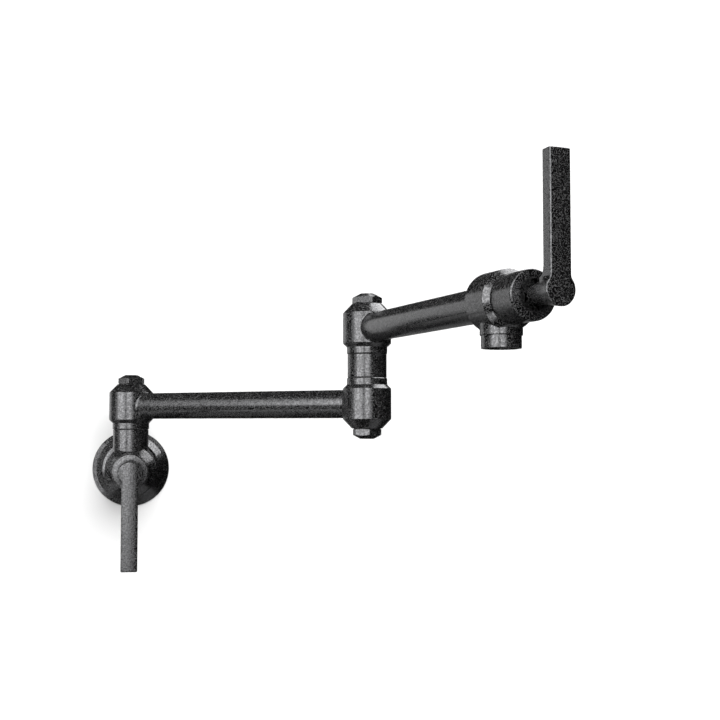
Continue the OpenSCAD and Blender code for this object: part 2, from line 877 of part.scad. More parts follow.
module lever() {
    color(black)
        difference() {
            union() {
                lever_cove();
                rotate_extrude()
                    polygon([
                        [0, boss_z],
                        [boss_d / 2, boss_z],
                        [hub_d / 2, boss_end_z],
                        [hub_d / 2 - lever_edge, lever_front],
                        [0, lever_front]
                    ]);
                translate([0, 0, blade_z + lever_edge])
                    linear_extrude(height = lever_t - 2 * lever_edge)
                        blend_outline();
                translate([0, lever_len, blade_z])
                    rotate([90, 0, 0])
                        blade();
            }
            difference() {
                translate([0, 0, boss_z - cut])
                    cylinder(d = stem_d + 2 * fit_gap, h = lever_bore_len + cut);
                translate([-stem_d, -stem_d - stem_d / 2 + stem_flat - fit_gap, grub_z - grub_d + fit_gap])
                    cube([2 * stem_d, stem_d, lever_bore_len]);
            }
            translate([0, 0, grub_z])
                rotate([90, 0, 0])
                    cylinder(d = grub_d + 2 * fit_gap, h = hub_d);
        }
}

module grub_screw() {
    start = stem_d / 2 - stem_flat + fit_gap;
    color(steel)
        translate([0, -start, grub_z])
            rotate([90, 0, 0])
                difference() {
                    cylinder(d = grub_d, h = boss_r_at_grub - start);
                    translate([0, 0, boss_r_at_grub - start - grub_socket_depth])
                        cylinder(d = grub_socket_flats / cos(30), h = grub_socket_depth + cut, $fn = 6);
                }
}

// Spout and what it holds, drawn round its own upright axis below the arm's centre line
module spout() {
    color(black)
        at_spout()
            difference() {
                union() {
                    rotate_extrude()
                        polygon([
                            [0, spout_end_z],
                            [spout_d / 2 - spout_edge, spout_end_z],
                            [spout_d / 2, spout_end_z + spout_edge],
                            [spout_d / 2, -spout_collar_drop],
                            [0, -spout_collar_drop]
                        ]);
                    translate([0, 0, -spout_collar_drop - cut])
                        cylinder(d = spout_thread_d, h = spout_thread_len + cut);
                }
                translate([0, 0, spout_end_z - cut])
                    cylinder(d = mouth_bore, h = mouth_depth + cut);
                translate([0, 0, spout_end_z])
                    cylinder(d = insert_d + 2 * fit_gap, h = mouth_depth + insert_t + screen_t);
                translate([0, 0, spout_end_z])
                    cylinder(d = spout_bore, h = spout_top_z - spout_end_z + cut);
            }
}

module stream_insert() {
    rim = (insert_d - insert_hole_d) / 2 - insert_hole_d / 2;
    color(nylon)
        at_spout()
            translate([0, 0, insert_z])
                difference() {
                    cylinder(d = insert_d, h = insert_t);
                    for (i = [0 : insert_holes - 1])
                        rotate([0, 0, i * 360 / insert_holes])
                            translate([rim, 0, -cut])
                                cylinder(d = insert_hole_d, h = insert_t + 2 * cut, $fn = 24);
                    for (i = [0 : insert_holes / 2 - 1])
                        rotate([0, 0, i * 720 / insert_holes])
                            translate([rim / 2, 0, -cut])
                                cylinder(d = insert_hole_d, h = insert_t + 2 * cut, $fn = 24);
                }
}

module aerator_screen() {
    rows = floor((insert_d / 2 - screen_hole_d) / screen_pitch);
    color(steel)
        at_spout()
            translate([0, 0, insert_z + insert_t])
                difference() {
                    cylinder(d = insert_d, h = screen_t - fit_gap);
                    for (i = [-rows : rows])
                        for (j = [-rows : rows])
                            if (norm([i, j]) * screen_pitch < insert_d / 2 - screen_hole_d)
                                translate([i * screen_pitch, j * screen_pitch, -cut])
                                    cylinder(d = screen_hole_d, h = screen_t + 2 * cut, $fn = 16);
                }
}

module spout_washer() {
    color(rubber)
        at_spout()
            translate([0, 0, spout_top_z])
                ring(spout_thread_d, spout_bore, spout_washer_t);
}

// One module for each node
module wall_swivel_barrel() {
    at_wall_swivel()
        barrel();
}

module wall_post() {
    at_wall_swivel()
        post();
}

module wall_post_o_rings() {
    at_wall_swivel()
        post_o_rings();
}

module wall_thrust_washer() {
    at_wall_swivel()
        thrust_washer();
}

module wall_cap_washer() {
    at_wall_swivel()
        cap_washer();
}

module wall_cap_nut() {
    at_wall_swivel()
        cap_nut(first_arm_angle + wall_nut_turn);
}

module first_arm_tube() {
    at_wall_swivel()
        arm_tube(tube_start, first_arm_len - tube_start);
}

module elbow_lower_barrel() {
    at_elbow_lower()
        barrel();
}

module lower_post() {
    at_elbow_lower()
        post();
}

module lower_post_o_rings() {
    at_elbow_lower()
        post_o_rings();
}

module lower_thrust_washer() {
    at_elbow_lower()
        thrust_washer();
}

module lower_cap_washer() {
    at_elbow_lower()
        cap_washer();
}

module lower_cap_nut() {
    at_elbow_lower()
        cap_nut(first_arm_angle + lower_nut_turn);
}

module elbow_upper_barrel() {
    at_elbow_upper()
        barrel();
}

module upper_post() {
    at_elbow_upper()
        post();
}

module upper_post_o_rings() {
    at_elbow_upper()
        post_o_rings();
}

module upper_thrust_washer() {
    at_elbow_upper()
        thrust_washer();
}

module upper_cap_washer() {
    at_elbow_upper()
        cap_washer();
}

module upper_cap_nut() {
    at_elbow_upper()
        cap_nut(second_arm_angle + upper_nut_turn);
}

module second_arm_tube() {
    at_elbow_upper()
        arm_tube(tube_start, second_arm_len - outlet_body_rear + tube_socket);
}

module inlet_cartridge_sleeve() {
    at_inlet_valve()
        cartridge_sleeve(inlet_face);
}

module inlet_cartridge_o_ring() {
    at_inlet_valve()
        cartridge_o_ring();
}

module inlet_seat_seal() {
    at_inlet_valve()
        seat_seal();
}

module inlet_fixed_disc() {
    at_inlet_valve()
        fixed_disc();
}

module inlet_moving_disc() {
    at_inlet_valve()
        moving_disc();
}

module inlet_bonnet() {
    at_inlet_valve()
        bonnet(inlet_face);
}

module inlet_stem() {
    at_inlet_valve()
        stem(1);
}

module inlet_stem_o_rings() {
    at_inlet_valve()
        stem_o_rings();
}

module inlet_lever() {
    at_inlet_valve()
        rotate([0, 0, 180])
            lever();
}

module inlet_grub_screw() {
    at_inlet_valve()
        rotate([0, 0, 180])
            grub_screw();
}

module outlet_cartridge_sleeve() {
    at_outlet_valve()
        cartridge_sleeve(outlet_face);
}

module outlet_cartridge_o_ring() {
    at_outlet_valve()
        cartridge_o_ring();
}

module outlet_seat_seal() {
    at_outlet_valve()
        seat_seal();
}

module outlet_fixed_disc() {
    at_outlet_valve()
        fixed_disc();
}

module outlet_moving_disc() {
    at_outlet_valve()
        moving_disc();
}

module outlet_bonnet() {
    at_outlet_valve()
        bonnet(outlet_face);
}

module outlet_stem() {
    at_outlet_valve()
        stem(-1);
}

module outlet_stem_o_rings() {
    at_outlet_valve()
        stem_o_rings();
}

module outlet_lever() {
    at_outlet_valve()
        lever();
}

module outlet_grub_screw() {
    at_outlet_valve()
        grub_screw();
}

wall_flange();
wall_gasket();
flange_o_ring();
inlet_valve_body();
wall_column();
wall_post();
wall_post_o_rings();
wall_thrust_washer();
wall_cap_washer();
wall_cap_nut();
inlet_cartridge_sleeve();
inlet_cartridge_o_ring();
inlet_seat_seal();
inlet_fixed_disc();
inlet_bonnet();
inlet_stem();
inlet_stem_o_rings();
inlet_moving_disc();
inlet_lever();
inlet_grub_screw();
wall_swivel_barrel();
first_arm_tube();
elbow_lower_barrel();
elbow_column();
lower_post();
lower_post_o_rings();
lower_thrust_washer();
lower_cap_washer();
lower_cap_nut();
upper_post();
upper_post_o_rings();
upper_thrust_washer();
upper_cap_washer();
upper_cap_nut();
elbow_upper_barrel();
second_arm_tube();
outlet_valve_body();
spout_collar();
outlet_cartridge_sleeve();
outlet_cartridge_o_ring();
outlet_seat_seal();
outlet_fixed_disc();
outlet_bonnet();
spout();
stream_insert();
aerator_screen();
spout_washer();
outlet_stem();
outlet_stem_o_rings();
outlet_moving_disc();
outlet_lever();
outlet_grub_screw();
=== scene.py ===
"""Looks of a wall mounted pot filler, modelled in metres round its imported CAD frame."""
import logging
import math
from collections.abc import Sequence
from dataclasses import dataclass, field
from enum import Enum
from typing import Any

import bpy
from mathutils import Matrix, Vector


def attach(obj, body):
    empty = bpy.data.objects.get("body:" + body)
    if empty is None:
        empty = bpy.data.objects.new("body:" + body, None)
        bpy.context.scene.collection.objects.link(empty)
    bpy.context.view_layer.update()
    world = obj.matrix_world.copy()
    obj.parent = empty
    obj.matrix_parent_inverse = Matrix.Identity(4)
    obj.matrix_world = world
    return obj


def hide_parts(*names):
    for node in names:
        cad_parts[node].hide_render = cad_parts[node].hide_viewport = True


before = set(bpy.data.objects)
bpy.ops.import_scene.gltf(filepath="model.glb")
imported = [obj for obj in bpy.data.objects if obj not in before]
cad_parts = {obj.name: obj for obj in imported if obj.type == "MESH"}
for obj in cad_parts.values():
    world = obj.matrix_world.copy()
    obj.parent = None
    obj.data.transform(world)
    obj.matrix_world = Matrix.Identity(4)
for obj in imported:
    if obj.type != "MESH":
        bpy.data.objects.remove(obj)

LOG = logging.getLogger("pot_filler")
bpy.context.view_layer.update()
MM = 0.001
WELD = 0.000002  # points closer than this, in metres, are merged
ARC_STEP = math.radians(14)  # the longest step round a corner
SIDE_SHARE = 0.49  # how much of a side one rounded corner may use
PICTURE_PX = 720
UNLIT = (0.0, 0.0, 0.0)
Point = tuple[float, float]
Corner = tuple[float, float, float]  # x, y and the corner's radius
Spot = tuple[float, float, float]
Shade = tuple[float, float, float]


class Body(str, Enum):
    """The rigid bodies that a piece can ride on."""

    WALL = "wall_assembly"
    INLET_HANDLE = "inlet_handle"
    FIRST_ARM = "first_arm"
    SECOND_ARM = "second_arm"
    OUTLET_HANDLE = "outlet_handle"


class Slot(str, Enum):
    """The record's material slots."""

    SATIN_BLACK = "satin_black"
    BARE_BRASS = "bare_brass"
    STAINLESS = "stainless"
    SEAL_RUBBER = "seal_rubber"
    FOAM = "foam"
    CERAMIC = "ceramic"
    NYLON = "nylon"
    BEARING = "bearing_plastic"


# Shader maths


class Wire:
    """One output socket of a node tree, with Python's arithmetic on its value."""

    def __init__(self, board: "NodeBoard", socket: bpy.types.NodeSocket) -> None:
        """Keeps the socket and the board that new Math nodes go on.

        Args:
            board: the board that owns the socket's node tree.
            socket: the output socket.
        """
        self.board = board
        self.socket = socket

    def math(
        self, operation: str, *others: "float | Wire", first: "float | Wire | None" = None
    ) -> "Wire":
        """Adds one Math node that takes this wire.

        Args:
            operation: the Math node's operation.
            others: the operands after this wire.
            first: an operand that goes before this wire.

        Returns:
            The node's result.
        """
        operands = ([] if first is None else [first]) + [self, *others]
        inputs = dict(enumerate(operands))
        return self.board.wire("ShaderNodeMath", {"operation": operation}, inputs)

    def __add__(self, other: "float | Wire") -> "Wire":
        """The sum."""
        return self.math("ADD", other)

    __radd__ = __add__

    def __sub__(self, other: "float | Wire") -> "Wire":
        """The difference."""
        return self.math("SUBTRACT", other)

    def __rsub__(self, other: "float | Wire") -> "Wire":
        """The difference the other way round."""
        return self.math("SUBTRACT", first=other)

    def __mul__(self, other: "float | Wire") -> "Wire":
        """The product."""
        return self.math("MULTIPLY", other)

    __rmul__ = __mul__

    def __abs__(self) -> "Wire":
        """The value without its sign."""
        return self.math("ABSOLUTE")

    def rising(self, low: float, high: float) -> "Wire":
        """A smooth step from 0 at low to 1 at high.

        Args:
            low: where the step starts.
            high: where it ends.

        Returns:
            The step's value, from 0 to 1.
        """
        return self.board.wire(
            "ShaderNodeMapRange",
            {"interpolation_type": "SMOOTHSTEP"},
            {"Value": self, "From Min": low, "From Max": high},
        )

    def inside(self, low: float, high: float, soft_low: float, soft_high: float) -> "Wire":
        """1 between low and high and 0 outside, with soft shoulders outside them.

        Args:
            low: the lower limit.
            high: the upper limit.
            soft_low: the width of the lower shoulder.
            soft_high: the width of the upper shoulder.

        Returns:
            The window's value, from 0 to 1.
        """
        return self.rising(low - soft_low, low) * (1 - self.rising(high, high + soft_high))


class NodeBoard:
    """A node tree that is being laid out."""

    def __init__(self, tree: bpy.types.NodeTree) -> None:
        """Empties the tree.

        Args:
            tree: the material's or the world's node tree.
        """
        self.tree = tree
        tree.nodes.clear()

    def node(
        self,
        kind: str,
        settings: dict[str, Any] | None = None,
        inputs: dict[str | int, Any] | None = None,
    ) -> bpy.types.Node:
        """Adds a node, sets it up and connects it.

        Args:
            kind: the node's type.
            settings: its own settings, set first.
            inputs: a value, a Wire or a socket for each input, by name or number.

        Returns:
            The node.
        """
        made = self.tree.nodes.new(kind)
        for key, value in (settings or {}).items():
            setattr(made, key, value)
        for key, value in (inputs or {}).items():
            if isinstance(value, Wire):
                self.tree.links.new(value.socket, made.inputs[key])
            elif isinstance(value, bpy.types.NodeSocket):
                self.tree.links.new(value, made.inputs[key])
            else:
                made.inputs[key].default_value = value
        return made

    def wire(
        self,
        kind: str,
        settings: dict[str, Any] | None = None,
        inputs: dict[str | int, Any] | None = None,
        output: str | int = 0,
    ) -> Wire:
        """Adds a node as node() does and returns one of its outputs.

        Args:
            kind: the node's type.
            settings: its own settings.
            inputs: what its inputs get.
            output: the output's name or number.

        Returns:
            The output as a Wire.
        """
        return Wire(self, self.node(kind, settings, inputs).outputs[output])

    def place(self) -> Wire:
        """The surface point in the object's own coordinates."""
        return self.wire("ShaderNodeTexCoord", output="Object")

    def noise(self, where: Wire, scale: float, detail: float = 2.0, roughness: float = 0.5) -> Wire:
        """Plain noise.

        Args:
            where: the point.
            scale: cells for each metre.
            detail: the number of octaves.
            roughness: the strength of each finer octave.

        Returns:
            The noise, round 0.5.
        """
        return self.wire(
            "ShaderNodeTexNoise",
            inputs={"Vector": where, "Scale": scale, "Detail": detail, "Roughness": roughness},
        )

    def blend(self, share: Wire | float, low: Wire | Shade, high: Wire | Shade) -> Wire:
        """A colour between two others.

        Args:
            share: 0 for low and 1 for high.
            low: the first colour.
            high: the second colour.

        Returns:
            The colour.
        """
        ends = [end if isinstance(end, Wire) else (*end, 1.0) for end in (low, high)]
        inputs = {0: share, 6: ends[0], 7: ends[1]}
        return self.wire("ShaderNodeMix", {"data_type": "RGBA"}, inputs, 2)

    def from_axis(self, where: Wire, middle: Spot, axis: Spot) -> Wire:
        """The distance from a straight line.

        Args:
            where: the point.
            middle: a point on the line.
            axis: the line's direction, of length 1.

        Returns:
            The distance, in metres.
        """
        kind = "ShaderNodeVectorMath"
        step = self.wire(kind, {"operation": "SUBTRACT"}, {0: where, 1: middle})
        across = self.wire(kind, {"operation": "CROSS_PRODUCT"}, {0: step, 1: axis})
        return self.wire(kind, {"operation": "LENGTH"}, {0: across}, "Value")

    def bumped(self, height: Wire, distance: float, strength: float = 1.0) -> Wire:
        """The surface's normal, tilted by a height.

        Args:
            height: the height, from 0 to 1.
            distance: what 1 stands for, in metres.
            strength: the share of the tilt that is used.

        Returns:
            The normal.
        """
        return self.wire(
            "ShaderNodeBump",
            inputs={"Strength": strength, "Distance": distance, "Height": height},
        )


# Finishes


@dataclass(frozen=True)
class Finish:
    """A finish that a piece can be given."""

    name: str
    slot: Slot

    def material(self) -> bpy.types.Material:
        """The finish's material, made when it is first asked for.

        Returns:
            The material.
        """
        found = bpy.data.materials.get(self.name)
        if found:
            return found
        made = bpy.data.materials.new(self.name)
        made.use_nodes = True
        board = NodeBoard(made.node_tree)
        shader = board.node("ShaderNodeBsdfPrincipled")
        board.node("ShaderNodeOutputMaterial", inputs={"Surface": shader.outputs[0]})
        self.lay_out(board, shader)
        return made

    def lay_out(self, board: NodeBoard, shader: bpy.types.Node) -> None:
        """Connects the finish's own nodes.

        Args:
            board: the material's board.
            shader: its shader.
        """
        raise NotImplementedError

    def link(self, board: NodeBoard, shader: bpy.types.Node, **wires: Wire) -> None:
        """Connects wires to the shader's inputs.

        Args:
            board: the material's board.
            shader: its shader.
            wires: a wire for each input, with underscores for spaces.
        """
        for key, value in wires.items():
            board.tree.links.new(value.socket, shader.inputs[key.replace("_", " ")])


@dataclass(frozen=True)
class MottledBlack(Finish):
    """Near black plating with a fine worm-like mottle of duller lines and dark pits, plus any
    painted shade that a subclass asks for.
    """

    shade: Shade = (0.104, 0.104, 0.107)
    line_shade: Shade = (0.095, 0.095, 0.096)
    cells: float = 740.0
    line_width: float = 0.058
    line_dull: float = 0.92
    patch_cells: float = 38.0
    grain_cells: float = 2600.0
    pit_band: Point = (0.55, 0.62)
    pit_dark: float = 0.45
    # painted shade: how far it darkens the colour towards black
    painted_shade_dark: float = 0.8
    smooth: float = 0.15
    patch_rough: float = 0.08
    line_rough: float = 0.26
    # painted shade: how much duller it makes the surface
    painted_shade_rough: float = 0.2
    relief: float = 0.00003

    def painted_shade(self, board: NodeBoard, where: Wire) -> Wire | float:
        """How much painted shade a point gets: a painted contact shadow, darker and duller; plain
        plating gets none.

        Args:
            board: the material's board.
            where: the point.

        Returns:
            The painted shade's strength, from 0 to 1.
        """
        return 0.0

    def lay_out(self, board: NodeBoard, shader: bpy.types.Node) -> None:
        """Lays the mottle, the dark pits and the painted shade over the plating.

        Args:
            board: the material's board.
            shader: its shader.
        """
        where = board.place()
        painted_shade = self.painted_shade(board, where)
        wandering = board.noise(where, self.cells, 0.3, 0.4)
        patches = board.noise(where, self.patch_cells, 3.0, 0.6)
        line = 1 - abs(wandering - 0.5).rising(self.line_width * 0.35, self.line_width)
        pit = wandering.rising(*self.pit_band)
        grain = board.noise(where, self.grain_cells, 1.0)
        plating = board.blend(line * (0.6 + 0.6 * patches), self.shade, self.line_shade)
        # the pits are a random dark mottle; painted_shade adds a painted contact shadow on top
        pits_and_painted_shade = pit * self.pit_dark + painted_shade * self.painted_shade_dark
        rough = self.smooth + self.patch_rough * patches + self.line_rough * line
        self.link(
            board,
            shader,
            Base_Color=board.blend(pits_and_painted_shade, plating, UNLIT),
            Metallic=1 - line * self.line_dull,
            Roughness=rough + self.painted_shade_rough * painted_shade,
            Normal=board.bumped(line * 0.7 + grain * 0.3, self.relief, 0.6),
        )


@dataclass(frozen=True)
class CoverBlack(MottledBlack):
    """The same plating on a valve's cover, with a painted contact shadow round the lever's boss."""

    middle: Spot = (0.0, 0.0, 0.0)
    axis: Spot = (0.0, -1.0, 0.0)
    # painted shadow: full within dark_r of the lever's axis, gone by clear_r
    dark_r: float = 0.0085
    clear_r: float = 0.0122

    def painted_shade(self, board: NodeBoard, where: Wire) -> Wire | float:
        """The painted contact shadow round the lever's boss, by how near a point lies to its axis.

        Args:
            board: the material's board.
            where: the point.

        Returns:
            The painted shadow's strength, from 0 to 1.
        """
        away = board.from_axis(where, self.middle, self.axis)
        # painted contact shadow: 1 at the boss, fading to 0 outwards
        return 1 - away.rising(self.dark_r, self.clear_r)


@dataclass(frozen=True)
class TurnedMetal(Finish):
    """Bare metal with fine machining marks and a light tarnish."""

    shade: Shade = (0.72, 0.53, 0.26)
    dull_shade: Shade = (0.45, 0.30, 0.13)
    roughness: float = 0.28
    mark_cells: float = 5200.0
    mark_rough: float = 0.1
    tarnish_cells: float = 160.0
    tarnish_band: Point = (0.42, 0.7)
    tarnish_rough: float = 0.16
    relief: float = 0.000008

    def lay_out(self, board: NodeBoard, shader: bpy.types.Node) -> None:
        """Lays the marks and the tarnish over the metal.

        Args:
            board: the material's board.
            shader: its shader.
        """
        where = board.place()
        marks = board.noise(where, self.mark_cells, 2.0, 0.7)
        tarnish = board.noise(where, self.tarnish_cells, 4.0, 0.6).rising(*self.tarnish_band)
        self.link(
            board,
            shader,
            Base_Color=board.blend(tarnish, self.shade, self.dull_shade),
            Roughness=self.roughness + self.tarnish_rough * tarnish + self.mark_rough * marks,
            Normal=board.bumped(marks, self.relief, 0.5),
        )
        shader.inputs["Metallic"].default_value = 1.0


@dataclass(frozen=True)
class Moulded(Finish):
    """A moulded, cut or fired material, from seal rubber to ceramic."""

    shade: Shade = (0.02, 0.02, 0.02)
    worn_shade: Shade = (0.04, 0.04, 0.04)
    roughness: float = 0.6
    grain_cells: float = 2500.0
    relief: float = 0.00001
    grain_rough: float = 0.15
    cloud_cells: float = 120.0
    cloud_band: Point = (0.4, 0.7)
    cloud_rough: float = 0.08

    def lay_out(self, board: NodeBoard, shader: bpy.types.Node) -> None:
        """Lays a fine grain and cloudy wear over the material.

        Args:
            board: the material's board.
            shader: its shader.
        """
        where = board.place()
        grain = board.noise(where, self.grain_cells, 2.0, 0.6)
        clouds = board.noise(where, self.cloud_cells, 3.0, 0.6).rising(*self.cloud_band)
        self.link(
            board,
            shader,
            Base_Color=board.blend(clouds, self.shade, self.worn_shade),
            Roughness=self.roughness + self.grain_rough * (grain - 0.5) + self.cloud_rough * clouds,
            Normal=board.bumped(grain, self.relief, 0.6),
        )


BLACK = MottledBlack("mottled_black", Slot.SATIN_BLACK)
BRASS = TurnedMetal("turned_brass", Slot.BARE_BRASS)
STEEL = TurnedMetal(
    "turned_steel",
    Slot.STAINLESS,
    shade=(0.6, 0.6, 0.61),
    dull_shade=(0.42, 0.42, 0.43),
    roughness=0.24,
)
RUBBER = Moulded("seal_rubber", Slot.SEAL_RUBBER)
FOAM = Moulded(
    "gasket_foam",
    Slot.FOAM,
    shade=(0.035, 0.035, 0.036),
    worn_shade=(0.06, 0.06, 0.06),
    roughness=0.9,
    grain_cells=900.0,
    relief=0.0001,
)
CERAMIC = Moulded(
    "lapped_ceramic",
    Slot.CERAMIC,
    shade=(0.88, 0.87, 0.83),
    worn_shade=(0.8, 0.79, 0.75),
    roughness=0.22,
    grain_cells=4000.0,
    relief=0.000004,
)
NYLON = Moulded(
    "grey_nylon",
    Slot.NYLON,
    shade=(0.33, 0.33, 0.32),
    worn_shade=(0.4, 0.4, 0.38),
    roughness=0.45,
    grain_cells=1500.0,
)
BEARING = Moulded(
    "bearing_plastic",
    Slot.BEARING,
    shade=(0.015, 0.015, 0.015),
    worn_shade=(0.03, 0.03, 0.03),
    roughness=0.5,
)


# Modelling


class Bench:
    """The modelling operations that every piece is made with. Sizes come in millimetres."""

    @staticmethod
    def clear() -> None:
        """Leaves edit mode and selects nothing."""
        if bpy.context.object and bpy.context.object.mode != "OBJECT":
            bpy.ops.object.mode_set(mode="OBJECT")
        bpy.ops.object.select_all(action="DESELECT")

    @staticmethod
    def close() -> None:
        """Turns every face of the edited mesh outwards and leaves edit mode."""
        bpy.ops.mesh.select_all(action="SELECT")
        bpy.ops.mesh.normals_make_consistent(inside=False)
        bpy.ops.object.mode_set(mode="OBJECT")

    @staticmethod
    def named(name: str) -> bpy.types.Object:
        """Names the object that was just added.

        Args:
            name: its name.

        Returns:
            The object.
        """
        piece = bpy.context.object
        piece.name = name
        piece.data.name = name
        return piece

    @staticmethod
    def pick(piece: bpy.types.Object) -> None:
        """Selects one object and makes it active.

        Args:
            piece: the object.
        """
        Bench.clear()
        piece.select_set(True)
        bpy.context.view_layer.objects.active = piece

    @staticmethod
    def chain(name: str, outline: Sequence[Point], flat: bool = False) -> bpy.types.Object:
        """Draws an outline as a chain of edges; stays in edit mode with all of it selected.

        Args:
            name: the piece's name.
            outline: its points, as radius and height, or as x and y if flat.
            flat: draws in the XY plane instead of the XZ plane.

        Returns:
            The new object.
        """
        Bench.clear()
        bpy.ops.mesh.primitive_plane_add(size=MM)
        piece = Bench.named(name)
        bpy.ops.object.mode_set(mode="EDIT")
        bpy.ops.mesh.select_all(action="SELECT")
        bpy.ops.mesh.merge(type="CENTER")
        last = (0.0, 0.0)
        for count, point in enumerate(outline):
            across, along = ((point[k] - last[k]) * MM for k in (0, 1))
            step = (across, along, 0.0) if flat else (across, 0.0, along)
            if count:
                bpy.ops.mesh.extrude_vertices_move(TRANSFORM_OT_translate={"value": step})
            else:
                bpy.ops.transform.translate(value=step)
            last = point
        bpy.ops.mesh.select_all(action="SELECT")
        return piece

    @staticmethod
    def turned(name: str, outline: Sequence[Point], steps: int = 112) -> bpy.types.Object:
        """Spins an outline round the Z axis into a closed solid.

        Args:
            name: the piece's name.
            outline: radius and height of each point; both ends are on the axis, or it is a ring.
            steps: the number of steps in the full turn.

        Returns:
            The new object.
        """
        points = list(outline)
        if points[0][0] > 0 or points[-1][0] > 0:
            points.append(points[0])
        piece = Bench.chain(name, points)
        bpy.ops.mesh.spin(steps=steps, angle=2 * math.pi, center=(0, 0, 0), axis=(0, 0, 1))
        bpy.ops.mesh.select_all(action="SELECT")
        bpy.ops.mesh.remove_doubles(threshold=WELD)
        Bench.close()
        return piece

    @staticmethod
    def ring(name: str, corners: Sequence[Corner], steps: int = 112) -> bpy.types.Object:
        """Spins a closed outline with rounded corners round the Z axis.

        Args:
            name: the piece's name.
            corners: radius, height and rounding of each corner.
            steps: the number of steps in the full turn.

        Returns:
            The new object.
        """
        return Bench.turned(name, rounded(corners, ring=True), steps)

    @staticmethod
    def plate(name: str, outline: Sequence[Point], low: float, high: float) -> bpy.types.Object:
        """Extrudes a flat outline along Z.

        Args:
            name: the piece's name.
            outline: the points in the XY plane.
            low: the height of the lower face.
            high: the height of the upper face.

        Returns:
            The new object.
        """
        piece = Bench.chain(name, [*outline, outline[0]], flat=True)
        bpy.ops.mesh.remove_doubles(threshold=WELD)
        bpy.ops.mesh.select_all(action="SELECT")
        bpy.ops.mesh.edge_face_add()
        bpy.ops.transform.translate(value=(0, 0, low * MM))
        rise = (0, 0, (high - low) * MM)
        bpy.ops.mesh.extrude_region_move(TRANSFORM_OT_translate={"value": rise})
        Bench.close()
        return piece

    @staticmethod
    def modify(piece: bpy.types.Object, kind: str, **settings: Any) -> None:
        """Adds a modifier and applies it.

        Args:
            piece: the object.
            kind: the modifier's type.
            settings: the modifier's settings.
        """
        Bench.pick(piece)
        modifier = piece.modifiers.new(kind.lower(), kind)
        for key, value in settings.items():
            setattr(modifier, key, value)
        bpy.ops.object.modifier_apply(modifier=modifier.name)

    @staticmethod
    def combine(piece: bpy.types.Object, other: bpy.types.Object, how: str) -> None:
        """Adds, cuts or intersects with another solid, which is used up.

        Args:
            piece: the object that stays.
            other: the object that is used up.
            how: UNION, DIFFERENCE or INTERSECT.
        """
        Bench.modify(piece, "BOOLEAN", operation=how, solver="EXACT", object=other)
        bpy.data.objects.remove(other, do_unlink=True)

    @staticmethod
    def soften(
        piece: bpy.types.Object,
        width: float,
        segments: int = 3,
        angle: float = 30.0,
        clamp: bool = True,
    ) -> None:
        """Rounds every edge that is sharper than an angle.

        Args:
            piece: the object.
            width: the width of the rounding.
            segments: its number of steps.
            angle: the smallest angle that is rounded, in degrees.
            clamp: narrows the rounding where edges are close together.
        """
        Bench.modify(
            piece,
            "BEVEL",
            width=width * MM,
            segments=segments,
            limit_method="ANGLE",
            angle_limit=math.radians(angle),
            miter_outer="MITER_ARC",
            use_clamp_overlap=clamp,
        )

    @staticmethod
    def lay(piece: bpy.types.Object, where: Matrix) -> None:
        """Moves a piece to its place and applies the move to its mesh.

        Args:
            piece: the object.
            where: its place.
        """
        Bench.pick(piece)
        piece.matrix_world = where @ piece.matrix_world
        bpy.context.view_layer.update()
        bpy.ops.object.transform_apply(location=True, rotation=True, scale=True)

    @staticmethod
    def finish(piece: bpy.types.Object, angle: float = 32.0) -> None:
        """Smooths the shading and keeps the large faces flat.

        Args:
            piece: the object.
            angle: the smallest angle that stays a hard edge, in degrees.
        """
        Bench.pick(piece)
        bpy.ops.object.shade_smooth_by_angle(angle=math.radians(angle))
        Bench.modify(piece, "WEIGHTED_NORMAL", keep_sharp=True, weight=80)
        piece.select_set(False)


def rounded(corners: Sequence[Corner], ring: bool = False) -> list[Point]:
    """Rounds the corners of an outline.

    Args:
        corners: x, y and the corner's radius for each corner, in millimetres.
        ring: treats the outline as closed, so its first and last corners are rounded too.

    Returns:
        The outline's points.
    """
    points: list[Point] = []
    count = len(corners)
    for k, (x, y, radius) in enumerate(corners):
        if radius <= 0 or (not ring and k in (0, count - 1)):
            points.append((x, y))
            continue
        here = Vector((x, y))
        before = Vector(corners[k - 1][:2]) - here
        after = Vector(corners[(k + 1) % count][:2]) - here
        opening = before.angle(after)
        limit = SIDE_SHARE * min(before.length, after.length)
        reach = min(radius / math.tan(opening / 2), limit)
        radius = reach * math.tan(opening / 2)
        inwards = (before.normalized() + after.normalized()).normalized()
        middle = here + inwards * (radius / math.sin(opening / 2))
        start = here + before.normalized() * reach - middle
        turn = start.angle_signed(here + after.normalized() * reach - middle)
        steps = max(2, math.ceil(abs(turn) / ARC_STEP))
        for step in range(steps + 1):
            angle = -turn * step / steps
            points.append(
                (
                    middle.x + start.x * math.cos(angle) - start.y * math.sin(angle),
                    middle.y + start.x * math.sin(angle) + start.y * math.cos(angle),
                )
            )
    return points


def arc(middle: Point, radius: float, start: float, end: float, steps: int) -> list[Point]:
    """Points along a circle.

    Args:
        middle: the circle's middle.
        radius: its radius.
        start: the first point's angle, in radians.
        end: the last point's angle.
        steps: the number of steps between them.

    Returns:
        The points, one more than the steps.
    """
    angles = [start + (end - start) * k / steps for k in range(steps + 1)]
    return [(middle[0] + radius * math.cos(a), middle[1] + radius * math.sin(a)) for a in angles]


def turn_z(degrees: float) -> Matrix:
    """A turn round the Z axis.

    Args:
        degrees: the angle.

    Returns:
        The matrix.
    """
    return Matrix.Rotation(math.radians(degrees), 4, "Z")


# Places and sub-assemblies


